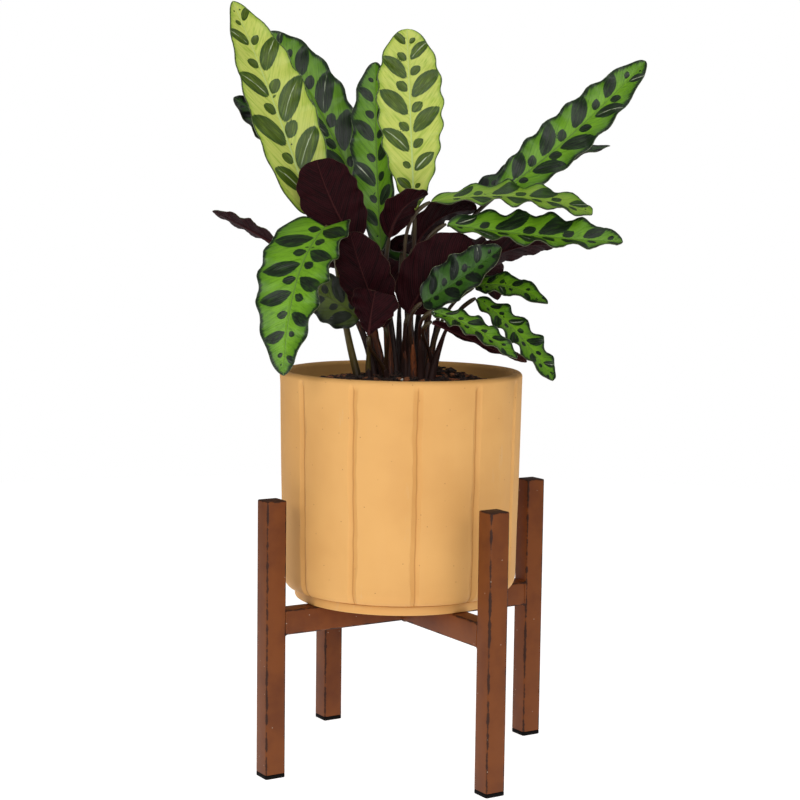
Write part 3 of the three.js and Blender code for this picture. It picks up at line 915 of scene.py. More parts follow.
    def build_brace(self, name: str, node: str, start: float, turn: float, paint: Coat) -> None:
        """One brace: a rectangular tube along the stand's own X axis before it is turned.

        Args:
            name: The piece's name.
            node: The solid that it stands for.
            start: Where it starts from the stand's middle. It ends at a leg.
            turn: How many quarter turns it makes.
            paint: Its material.
        """
        end = self.leg_inside
        length = end - start
        brace = self.bar(name, (length, self.brace_width, self.brace_height), 0, self.corner)
        select_in_edit(brace, "faces", lambda f: abs(f.normal.x) > 0.9)
        bpy.ops.mesh.inset(thickness=self.wall, use_individual=True)
        bpy.ops.mesh.bridge_edge_loops()
        bpy.ops.mesh.select_all(action="SELECT")
        bpy.ops.transform.translate(value=((start + end) / 2, 0, self.brace_top - self.brace_height / 2))
        bpy.ops.object.mode_set(mode="OBJECT")
        brace.data.transform(self.quarter(turn))
        dress(brace, paint, "stand_paint", node, angle_degrees=self.sharp_degrees)

    def build_weld(self, name: str, along: float, turn: float, seed: int, paint: Coat) -> None:
        """One weld: an uneven painted bead round a brace where it meets what carries it.

        Args:
            name: The piece's name.
            along: Where the bead lies from the stand's middle.
            turn: How many quarter turns the brace makes.
            seed: Which uneven bead.
            paint: Its material.
        """
        bead, around, along_loop = unit_grid(name, 8, 140)
        half_width = self.brace_width / 2
        half_height = self.brace_height / 2
        angle = 2 * np.pi * along_loop
        power = 0.3
        unit_y = np.sign(np.cos(angle)) * np.abs(np.cos(angle)) ** power
        unit_z = np.sign(np.sin(angle)) * np.abs(np.sin(angle)) ** power
        uneven = 1 + 0.3 * wander(along_loop * 9, seed, 5)
        radius = self.bead * uneven * 0.62
        section = 2 * np.pi * around
        out = radius * np.cos(section)
        points = np.stack(
            [
                along + radius * np.sin(section),
                (half_width + out) * unit_y,
                self.brace_top - half_height + (half_height + out) * unit_z,
            ],
            axis=1,
        )
        move_points(bead, points)
        merge_and_face_out(bead)
        bead.data.transform(self.quarter(turn))
        dress(bead, paint, "stand_paint")

    def to_stand(self, made: Shader) -> tuple[Socket, ...]:
        """The place along the stand's own axes, taken without its sign, and the height.

        Args:
            made: The material being made.

        Returns:
            The sockets of all three.
        """
        place = made.place()
        moved = made.add("Mapping", {"Vector": place, "Location": tuple(-self.centre)}).outputs[0]
        rotation = (0, 0, -math.radians(self.turn_degrees))
        turned = made.add("Mapping", {"Vector": moved, "Rotation": rotation}).outputs[0]
        across, deep, height = made.add("SeparateXYZ", {0: turned}).outputs
        return made.without_sign(across), made.without_sign(deep), height

    def leg_corner(self, made: Shader) -> Socket:
        """The way from a leg's surface to its nearest upright corner or its top edge.

        Args:
            made: The material being made.

        Returns:
            The distance's socket, in metres.
        """
        across, deep, height = self.to_stand(made)
        far = made.maths("MAXIMUM", across, deep)
        near = made.maths("MINIMUM", across, deep)
        off_centre = made.without_sign(made.maths("SUBTRACT", far, self.reach))
        side = made.maths("SUBTRACT", self.leg_side / 2, made.maths("MINIMUM", off_centre, near))
        top = made.maths("SUBTRACT", self.leg_top + 0.4 * MM, height)
        return made.maths("MINIMUM", side, top)

    def brace_corner(self, made: Shader) -> Socket:
        """The way from a brace's surface to its nearest long corner.

        Args:
            made: The material being made.

        Returns:
            The distance's socket, in metres.
        """
        across, deep, height = self.to_stand(made)
        near = made.maths("MINIMUM", across, deep)
        middle = self.brace_top - self.brace_height / 2
        off = made.without_sign(made.maths("SUBTRACT", height, middle))
        up = made.maths("SUBTRACT", self.brace_height / 2, off)
        side = made.maths("SUBTRACT", self.brace_width / 2, near)
        return made.maths("MAXIMUM", up, side)

    def build(self) -> None:
        """Builds and dresses the whole stand."""
        finish = StandPaint()
        leg_paint = finish.material("brown_enamel_legs", self.leg_corner)
        brace_paint = finish.material("brown_enamel_braces", self.brace_corner)
        plastic = MouldedPlastic().material()
        for quarter in range(len(self.leg_names)):
            self.build_leg(quarter, leg_paint)
            self.build_foot(quarter, plastic)
        begin = self.brace_width / 2 + self.touch_gap
        self.build_brace("brace_tube_long", "brace_long", -self.leg_inside, 0, brace_paint)
        self.build_brace("brace_tube_back", "brace_half_back", begin, 1, brace_paint)
        self.build_brace("brace_tube_front", "brace_half_front", begin, 3, brace_paint)
        for quarter, name in enumerate(self.leg_names):
            self.build_weld("weld_" + name, self.leg_inside, quarter, 40 + quarter, brace_paint)
        self.build_weld("weld_middle_back", begin, 1, 51, brace_paint)
        self.build_weld("weld_middle_front", begin, 3, 52, brace_paint)


# Pot

@dataclass
class Pot:
    """A slip-cast round pot: twelve cut flutes that start under a smooth lip, and a set-in foot ring."""

    wall: float = 8 * MM
    low_radius: float = 97.6 * MM
    lip_radius: float = 3.6 * MM
    corner_radius: float = 12 * MM
    foot_radius: float = 86.8 * MM
    foot_height: float = 8.5 * MM
    foot_width: float = 9 * MM
    foot_edge: float = 1 * MM
    under_recess: float = 4 * MM
    corner_pull: float = 0.6
    floor: float = 11 * MM
    flute_count: int = 12
    flute_half: float = 3.9 * MM
    flute_depth: float = 2.3 * MM
    flute_top_gap: float = 5 * MM
    flute_fade: float = 3.5 * MM
    flute_line: float = 0.5 * MM
    stave_swell: float = 0.5 * MM
    first_flute_degrees: float = -82
    columns_per_flute: int = 44
    bend_steps: int = 8
    outside_steps: int = 70
    inside_steps: int = 12
    sharp_degrees: float = 28

    def __post_init__(self) -> None:
        """Reads the pot's place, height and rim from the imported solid."""
        low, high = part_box("pot")
        self.axis = Vector(((low.x + high.x) / 2, (low.y + high.y) / 2, low.z))
        self.height = high.z - low.z
        self.rim_radius = (high.y - low.y) / 2

    def section(self) -> list[Pair]:
        """The pot's section as radius and height, from under its middle, up the outside and down the
        inside."""
        inner_foot = self.foot_radius - self.foot_width
        line = [(0.0, self.under_recess), (inner_foot - 2 * MM, self.under_recess)]
        line += [(inner_foot, 0.4 * MM), (inner_foot + 0.6 * MM, 0.0)]
        line += [(self.foot_radius - self.foot_edge, 0.0)]
        line += [(self.foot_radius - 0.3 * MM, 0.3 * MM), (self.foot_radius, self.foot_edge)]
        line.append((self.foot_radius, self.foot_height - 1.4 * MM))
        line.append((self.foot_radius - 0.9 * MM, self.foot_height - 0.7 * MM))
        flare = self.rim_radius - self.low_radius
        quarters = [step / self.bend_steps * math.pi / 2 for step in range(self.bend_steps + 1)]
        for turn in quarters:
            pull = self.corner_radius * (1 - math.sin(turn)) * self.corner_pull
            rise = self.corner_radius * (1 - math.cos(turn))
            line.append((self.low_radius - pull, self.foot_height + rise))
        body_low = self.foot_height + self.corner_radius
        body_high = self.height - self.lip_radius
        for step in range(1, self.outside_steps):
            share = step / self.outside_steps
            line.append((self.low_radius + flare * share, body_low + share * (body_high - body_low)))
        for turn in quarters:
            out = self.rim_radius - self.lip_radius * (1 - math.cos(turn))
            line.append((out, self.height - self.lip_radius * (1 - math.sin(turn))))
        inside = self.rim_radius - self.wall
        for turn in quarters[1:]:
            out = inside + self.lip_radius * (1 - math.sin(turn))
            line.append((out, self.height - self.lip_radius * (1 - math.cos(turn))))
        for step in range(1, self.inside_steps + 1):
            share = step / self.inside_steps
            deep = share * (body_high - self.floor - self.corner_radius)
            line.append((inside - flare * share, body_high - deep))
        low_inside = self.low_radius - self.wall
        line.append((low_inside - 4 * MM, self.floor + 5 * MM))
        return line + [(low_inside - self.corner_radius, self.floor), (0.0, self.floor)]

    def flute(self, turn: Numbers, height: Numbers, radius: Numbers) -> tuple[Numbers, Numbers]:
        """How deep the nearest flute cuts, and how close its bottom line lies.

        Args:
            turn: Angles in flute pitches, whole numbers at the flutes' middles.
            height: Heights above the pot's foot.
            radius: Radii of the plain section there.

        Returns:
            The share of the full depth at each point, uneven as hand-cut flutes are, and the bottom
            line's share.
        """
        number = np.round(turn)
        pitch = 2 * np.pi / self.flute_count
        top = self.height - self.flute_top_gap
        share = np.zeros_like(turn)
        line = np.zeros_like(turn)
        for flute in range(self.flute_count):
            mine = np.mod(number, self.flute_count) == flute
            climb = height[mine] / self.height
            drift = 0.4 * MM * wander(climb * 2.2, 100 + flute)
            half = self.flute_half * (1 + 0.1 * wander(climb * 3, 200 + flute))
            lean = 0.18 * wander(climb * 1.5, 300 + flute, 2)
            rise = np.clip((top - height[mine]) / self.flute_fade, 0, 1) ** 0.5
            fall = np.clip((height[mine] - self.foot_height) / (0.8 * MM), 0, 1)
            off = (turn[mine] - number[mine]) * pitch * radius[mine] - drift
            side = np.where(off < 0, half * (1 - lean), half * (1 + lean))
            share[mine] = np.clip(1 - np.abs(off) / side, 0, 1) ** 0.85 * rise * fall
            line[mine] = np.exp(-((off / self.flute_line) ** 2)) * rise * fall
        return share, line

    def build(self) -> None:
        """Builds and dresses the pot."""
        section = np.array(self.section())
        columns = self.flute_count * self.columns_per_flute
        pot, around, along = unit_grid("fluted_pot", columns, len(section) - 1)
        row = np.rint(along * (len(section) - 1)).astype(int)
        within = around * self.flute_count
        number = np.round(within)
        part = within - number
        narrow = 0.09
        crowded = np.where(
            np.abs(part) < 0.25,
            part * (narrow / 0.25),
            np.sign(part) * (narrow + (np.abs(part) - 0.25) * (0.5 - narrow) / 0.25),
        )
        turn = number + crowded
        angle = math.radians(self.first_flute_degrees - 90) + turn * 2 * np.pi / self.flute_count
        radius, height = section[row, 0], section[row, 1]
        peak = int(np.argmax(section[:, 1]))
        outside = (row <= peak) & (row > 8)
        cut, line = (np.where(outside, share, 0.0) for share in self.flute(turn, height, radius))
        below_lip = np.clip((self.height - self.flute_top_gap - height) / (6 * MM), 0, 1) * outside
        swell = self.stave_swell * (np.sin(np.pi * crowded) ** 2 - 1) * below_lip
        hand = 0.14 * MM * wander(angle / (2 * np.pi) * 3 + height * 4, 5) * (row > 8)
        radius = np.where(radius > 0, radius + hand + swell - cut * self.flute_depth, 0.0)
        near_rim = np.clip((height - self.height * 0.9) / (self.height * 0.1), 0, 1)
        lift = 0.14 * MM * (wander(angle / (2 * np.pi) * 2, 9) - 1) * near_rim
        across, deep = radius * np.cos(angle), radius * np.sin(angle)
        move_points(pot, np.stack([across, deep, height + lift], axis=1))
        # The groove number marks each flute's bottom line, where the ceramic's colour paints shade.
        set_attribute(pot, "groove", np.clip(line + 0.12 * cut, 0, 1))
        merge_and_face_out(pot)
        pot.data.transform(Matrix.Translation(self.axis))
        dress(pot, SlipCeramic().material(), "pot_ceramic", "pot", angle_degrees=self.sharp_degrees)

    def inside_radius(self, height: float) -> float:
        """The pot's inner radius at a height above its foot.

        Args:
            height: The height.

        Returns:
            The radius.
        """
        low = self.floor + self.corner_radius
        share = (height - low) / (self.height - low)
        return self.low_radius + (self.rim_radius - self.low_radius) * share - self.wall

    @property
    def rim_middle(self) -> Vector:
        """The point on the pot's axis at the height of its rim."""
        return self.axis + Vector((0, 0, self.height))


# Potting mix

@dataclass
class Soil:
    """The potting mix: a low mound of crumbs, with loose bark, fibre and perlite on top."""

    pot: Pot
    crown_depth: float = 6.5 * MM
    edge_depth: float = 17 * MM
    underside: float = 90 * MM
    wall_play: float = 0.7 * MM
    heap_place: Pair = (0.03, 0.012)
    heap_size: float = 26 * MM
    heap_height: float = 8 * MM
    crumbs: int = 900
    perlites: int = 26
    twigs: int = 34
    twig_share: float = 0.4
    twig_tint: float = 0.3

    def height(self, across: Numbers, deep: Numbers) -> Numbers:
        """The mix's height above the pot's foot, at places measured from the pot's axis in plan.

        It is highest round the crown, and heaped up on the crown's right, where it was pressed down
        last.

        Args:
            across: Places along X.
            deep: Places along Y.

        Returns:
            The heights.
        """
        share = np.hypot(across, deep) / self.widest
        off = (across - self.heap_place[0]) ** 2 + (deep - self.heap_place[1]) ** 2
        heap = self.heap_height * np.exp(-off / self.heap_size**2)
        fall = (self.edge_depth - self.crown_depth) * share**2
        return self.pot.height - self.crown_depth - fall + heap

    @property
    def widest(self) -> float:
        """The radius of the mix at the top of its side."""
        return self.pot.inside_radius(self.pot.height - self.edge_depth) - self.wall_play

    def build_bed(self, mix: Coat) -> None:
        """The body of the mix, closed all round, its top broken into lumps.

        Args:
            mix: Its material.
        """
        bed, around, along = unit_grid("potting_mix", 200, 70)
        bottom = self.pot.height - self.underside
        edge = self.pot.height - self.edge_depth
        widest = self.widest
        low = self.pot.inside_radius(bottom) - self.wall_play
        knots = np.array([0, 0.06, 0.14, 1.0])
        radius = np.interp(along, knots, [0, low, widest, 0])
        angle = 2 * np.pi * around
        across, deep = radius * np.cos(angle), radius * np.sin(angle)
        wall = np.interp(along, knots[1:3], [bottom, edge])
        top = self.height(across, deep)
        height = np.where(along <= knots[1], bottom, np.where(along <= knots[2], wall, top))
        move_points(bed, np.stack([across, deep, height], axis=1))
        merge_and_face_out(bed)
        group = bed.vertex_groups.new(name="top")
        places = points_of(bed)
        inner = np.hypot(places[:, 0], places[:, 1]) < widest - 1.5 * MM
        chosen = np.flatnonzero(inner & (places[:, 2] > edge - 1 * MM))
        group.add(chosen.tolist(), 1.0, "REPLACE")
        for name, size, strength in (("lumps", 0.011, 3.4 * MM), ("crumbs", 0.0032, 1.6 * MM)):
            clouds = bpy.data.textures.new(name, "CLOUDS")
            clouds.noise_scale = size
            clouds.noise_depth = 2
            push = bed.modifiers.new(name, "DISPLACE")
            push.texture = clouds
            push.texture_coords = "LOCAL"
            push.direction = "Z"
            push.strength = strength
            push.vertex_group = "top"
        apply_modifiers(bed)
        bed.data.transform(Matrix.Translation(self.pot.axis))
        dress(bed, mix, "soil", "soil")

    def scatter(self, name: str, count: int, sizes: Pair, stretch: float, seed: int) -> Piece:
        """Loose bits on the mix, copied from a few knobbly stones.

        Args:
            name: The piece's name.
            count: How many bits.
            sizes: The smallest and largest radius.
            stretch: How long they may be for their width.
            seed: Which scatter.

        Returns:
            One piece with all the bits.
        """
        draw = np.random.default_rng(seed)
        bits = []
        reach = self.widest - 4 * MM
        bpy.ops.object.select_all(action="DESELECT")
        bpy.ops.mesh.primitive_ico_sphere_add(subdivisions=1 if stretch > 3 else 2, radius=1)
        model = bpy.context.active_object
        rest = points_of(model)
        for _ in range(count):
            bit = model.copy()
            bit.data = model.data.copy()
            bpy.context.scene.collection.objects.link(bit)
            move_points(bit, rest * (1 + 0.45 * draw.uniform(-1, 1, (len(rest), 1))))
            share = draw.random() ** 0.5
            angle = draw.uniform(0, 2 * math.pi)
            size = draw.uniform(*sizes)
            across, deep = reach * share * math.cos(angle), reach * share * math.sin(angle)
            spot = Vector((across, deep, float(self.height(across, deep)) + 1.6 * MM + 0.3 * size))
            turn = Matrix.Rotation(draw.uniform(0, 2 * math.pi), 4, "Z")
            tilt = Matrix.Rotation(draw.uniform(-0.5, 0.5), 4, "X")
            long = size * draw.uniform(1, stretch)
            shape = Matrix.Diagonal((long, size, size * draw.uniform(0.5, 0.9), 1))
            bit.data.transform(Matrix.Translation(self.pot.axis + spot) @ turn @ tilt @ shape)
            bits.append(bit)
        bpy.data.objects.remove(model)
        return join_pieces(bits, name)

    def build(self) -> None:
        """Builds and dresses the mix and what lies on it."""
        mix = PottingMix().material()
        self.build_bed(mix)
        loose = self.scatter("loose_crumbs", self.crumbs, (0.8 * MM, 2.6 * MM), 1.9, 11)
        dress(loose, mix, "soil", angle_degrees=None)
        twigs = self.scatter("bark_slivers", self.twigs, (0.5 * MM, 0.9 * MM), 12, 12)
        set_attribute(twigs, "share", self.twig_share)
        set_attribute(twigs, "tint", self.twig_tint)
        dress(twigs, DrySheath().material(), "soil", angle_degrees=None)
        white = self.scatter("perlite", self.perlites, (0.8 * MM, 1.7 * MM), 1.3, 13)
        dress(white, Perlite().material(), "soil", angle_degrees=None)


# Leaves

@dataclass
class Leaf:
    """One leaf: its blade, set out along a curved midrib, and its stalk.

    Places are in millimetres from the pot's axis at the height of its rim. root is where the stalk
    leaves the crown in plan. face is the way the upper side looks, and face_tip the same at the tip.
    width is the widest, at the share belly of the length. fold raises both halves, in degrees. wave is
    how high the edges wave, and wave_other the same for the second half. broader widens the first half
    at the second's cost, and sweep draws the shoulders back beside the stalk. marks is how many large
    marks each half holds, start is where the first lies, crowd brings them closer to the tip, slant is
    their angle from the midrib, and lens how pointed they are.
    """

    name: str
    root: Pair
    base: Place
    middle: Place
    tip: Place
    face: Place
    width: float
    belly: float
    taper: float
    fold: float
    waves: float
    wave: float
    tone: LeafTone
    slot: str
    face_tip: Place | None = None
    bow: Pair = (0.0, 0.0)
    wave_other: float | None = None
    broader: float = 0.0
    sweep: float = 0.12
    scallop: float = 1.0
    marks: float = 4.7
    start: float = 0.7
    crowd: float = 1.1
    slant: float = 46.0
    reach_share: float = 0.88
    lens: float = 1.5
    glints: float = 0.15
    stalk_tint: float = 0.75
    stalk_size: float = 0.85

    thickness: float = 0.55
    rest_height: float = 0.5
    wave_uneven: float = 0.35
    ripple: float = 0.5
    quilt: float = 0.25
    quilt_apart: float = 7.5
    groove_depth: float = 0.35
    groove_half: float = 0.9
    dent_depth: float = 0.45
    dent_half: float = 1.5
    sweep_power: float = 1.5
    sweep_fade: float = 0.1
    vein_bend: float = 0.012
    rib_height: float = 2.0
    stalk_width: float = 2.4
    edge_power: float = 2.0
    end_power: float = 0.6
    columns: int = 38
    row_mm: float = 1.25

    def __post_init__(self) -> None:
        """Works out the midrib's middle control point and length, and the leaf's own seed."""
        start, middle, end = (np.array(p, float) for p in (self.base, self.middle, self.tip))
        self.control = (start, 2 * middle - (start + end) / 2, end)
        steps = self.along(np.linspace(0, 1, 65))[0]
        self.length = float(np.linalg.norm(np.diff(steps, axis=0), axis=1).sum())
        self.seed = sum(ord(letter) * (place + 3) for place, letter in enumerate(self.name))

    def along(self, share: Numbers) -> tuple[Numbers, Numbers]:
        """Points and directions of the midrib.

        Args:
            share: Shares of the way from base to tip.

        Returns:
            The points, and the unit directions towards the tip.
        """
        start, pull, end = self.control
        t = share[:, None]
        points = (1 - t) ** 2 * start + 2 * t * (1 - t) * pull + t**2 * end
        run = 2 * (1 - t) * (pull - start) + 2 * t * (end - pull)
        return points, run / np.linalg.norm(run, axis=1, keepdims=True)

    def half_width(self, share: Numbers) -> Numbers:
        """Half the blade's width at shares of its length, down to a fine point at the tip.

        Args:
            share: The shares.

        Returns:
            The half widths, in millimetres.
        """
        rising = (share / self.belly) ** (self.belly * self.taper)
        falling = ((1 - share) / (1 - self.belly)) ** ((1 - self.belly) * self.taper)
        least = self.stalk_width / 2 * np.clip((1 - share) * 12, 0.15, 1)
        return np.maximum(least, self.width / 2 * rising * falling)

    def blade_points(self, side: Numbers, share: Numbers) -> tuple[Numbers, Numbers, dict[str, Numbers]]:
        """Shapes the blade.

        Args:
            side: From -1 at one edge, over 0 at the midrib, to 1 at the other edge.
            share: Shares of the way from base to tip.

        Returns:
            The points of the upper side, how far each is from the midrib with its sign, and what the
            material reads at each.
        """
        middle, forward = self.along(share)
        low = np.array(self.face, float)
        high = np.array(self.face_tip or self.face, float)
        low, high = low / np.linalg.norm(low), high / np.linalg.norm(high)
        facing = low + (high - low) * share[:, None]
        facing -= forward * np.sum(facing * forward, axis=1, keepdims=True)
        facing /= np.linalg.norm(facing, axis=1, keepdims=True)
        across = np.cross(forward, facing)
        fold = math.radians(self.fold)
        fade = np.clip(np.sin(np.pi * share), 0, 1) ** self.end_power
        first = side > 0
        phase = 2 * np.pi * self.waves * share + np.where(first, np.pi / 2, 0)
        out = np.abs(side) ** self.edge_power * fade
        half = self.half_width(share) * (1 + np.where(first, self.broader, -self.broader))
        reach = half + self.scallop * out * np.cos(phase)
        uneven = wander(share * 2 + first * 3, self.seed, 3)
        ripple = wander(share * self.waves * 1.3 + first * 5, self.seed + 1, 4)
        soft = np.sqrt(side**2 + 0.004) - 0.063
        other = self.wave if self.wave_other is None else self.wave_other
        height = np.where(first, self.wave, other) * out * np.sin(phase)
        lift = soft * reach * math.sin(fold) + height * (1 + self.wave_uneven * uneven)
        lift += self.ripple * out**2 * ripple
        distance = side * reach
        mark, crease, lit = self.mark_field(distance, share)
        dent = np.exp(-((crease / self.dent_half) ** 2)) * np.clip(-1.6 * mark, 0, 1)
        vein = self.vein_place(distance, share)
        quilt = self.quilt * np.sin(2 * np.pi * vein / self.quilt_apart + self.seed)
        quilt *= np.clip(np.abs(side) * 4, 0, 1) * fade
        groove = self.groove_depth * np.exp(-((distance / self.groove_half) ** 2)) * (1 - share)
        lift += quilt * (1 - 0.5 * np.abs(side)) - groove - self.dent_depth * dent
        lift += self.rest_height - self.thickness / 2
        shoulder = self.sweep * np.abs(side) ** self.sweep_power * reach
        shoulder *= np.exp(-share / self.sweep_fade)
        points = middle + across * (distance * math.cos(fold))[:, None] + facing * lift[:, None]
        points -= forward * shoulder[:, None]
        stored = {
            "mark": mark,
            "crease": crease,
            "lit": lit,
            "rib": distance / np.clip(1.15 - share, 0.3, 1),
            "margin": reach - np.abs(distance),
            "vein": vein + first * 500 + self.seed % 97,
        }
        return points, distance, stored

    def vein_place(self, distance: Numbers, share: Numbers) -> Numbers:
        """Where the side vein through a point leaves the midrib, in millimetres from the base."""
        bend = 1 + self.vein_bend * np.abs(distance)
        return share * self.length - np.abs(distance) * bend / math.tan(math.radians(self.slant))

    def mark_list(self) -> list[tuple[float, float, float, float, float]]:
        """The dark marks: large ones along every side vein or so, each with a small one above it.

        Returns:
            For each mark its place across, with a sign, and along, its half length, its half breadth,
            and how much light its crease catches.
        """
        draw = np.random.default_rng(self.seed)
        found = []
        slant = math.radians(self.slant)
        pitch = self.length / self.marks
        for half in (-1, 1):
            for step in range(-1, math.ceil(self.marks) + 1):
                for large in (True, False):
                    shift = self.start + (0.5 if half > 0 else 0) + (0 if large else 0.36)
                    place = (step + shift + draw.uniform(-0.05, 0.05)) / self.marks
                    size = draw.uniform(0.92, 1.06)
                    lit = float(draw.random() < self.glints)
                    if not 0.04 < place < 0.955:
                        continue
                    share = 1 - (1 - place) ** self.crowd
                    reach = float(self.half_width(np.array([share]))[0]) * (1 + half * self.broader)
                    outer = min(self.reach_share * reach, 1.2 * pitch)
                    long = max(1.2, (outer - 1.3) / 2 / math.sin(slant)) * size
                    if large:
                        gap, broad = 1.3, min(0.4 * long + 0.5, 0.26 * pitch)
                    else:
                        gap, long, lit = 1.5, 0.36 * long + 0.3, 0.0
                        broad = 0.68 * long
                    found.append((half * (gap + long * math.sin(slant)), share, long, broad, lit))
                if draw.random() < 0.4:
                    share = min(0.95, max(0.05, (step + self.start + 0.62) / self.marks))
                    found.append((half * 2.6, share, 0.9, 0.8, 0.0))
        return found

    def mark_field(self, distance: Numbers, share: Numbers) -> tuple[Numbers, Numbers, Numbers]:
        """How each point lies to the marks.

        Args:
            distance: Distances from the midrib, with their sign.
            share: Shares of the way along the blade.

        Returns:
            A number below 0 inside a mark and above 0 outside, the distance from the mark's long axis,
            and how much light the mark's crease catches.
        """
        slant = math.radians(self.slant)
        nearest = np.full_like(share, 3.0)
        crease = np.full_like(share, 9.0)
        caught = np.zeros_like(share)
        for across, centre, long, broad, lit in self.mark_list():
            same_half = (np.sign(distance) == np.sign(across)) | (np.abs(distance) < 0.3)
            du = np.abs(distance) - abs(across)
            dv = (share - centre) * self.length
            run = (du * math.sin(slant) + dv * math.cos(slant)) / long
            off = -du * math.cos(slant) + dv * math.sin(slant) + 0.1 * long * run**2
            value = (np.abs(off) / broad) ** self.lens + np.abs(run) ** 2.0 - 1
            closer = same_half & (value < nearest)
            nearest = np.where(closer, value, nearest)
            crease = np.where(closer, off, crease)
            caught = np.where(closer, lit * np.clip(1.3 - 1.6 * run**2, 0, 1), caught)
        return nearest, crease, caught

    def build_blade(self, origin: Vector, coats: list[Coat]) -> None:
        """Builds and dresses the blade.

        Args:
            origin: The point that the leaf's places are measured from, in metres.
            coats: The materials of the upper side, the under side and the rim.
        """
        rows = max(40, round(self.length / self.row_mm))
        blade, across, run = unit_grid("blade_" + self.name, self.columns, rows)
        side = np.sin((across * 2 - 1) * np.pi / 2 * 0.92) / math.sin(np.pi / 2 * 0.92)
        share = run - 0.05 * np.sin(2 * np.pi * run)
        points, distance, stored = self.blade_points(side, share)
        move_points(blade, np.array(origin) + points * MM)
        for name, values in stored.items():
            set_attribute(blade, name, values)
        group = blade.vertex_groups.new(name="thick")
        near = np.exp(-((distance / 1.0) ** 2)) * (1 - share) ** 0.7
        for index in np.flatnonzero(near > 0.02).tolist():
            group.add([index], float(near[index]), "REPLACE")
        for coat in coats:
            blade.data.materials.append(coat)
        wall = blade.modifiers.new("wall", "SOLIDIFY")
        wall.thickness = self.rib_height * MM
        wall.vertex_group = "thick"
        wall.thickness_vertex_group = self.thickness / self.rib_height
        wall.offset = -1
        wall.material_offset = 1
        wall.material_offset_rim = 2
        apply_modifiers(blade)
        smooth(blade, 60)
        settle(blade, self.slot, "leaf_" + self.name)


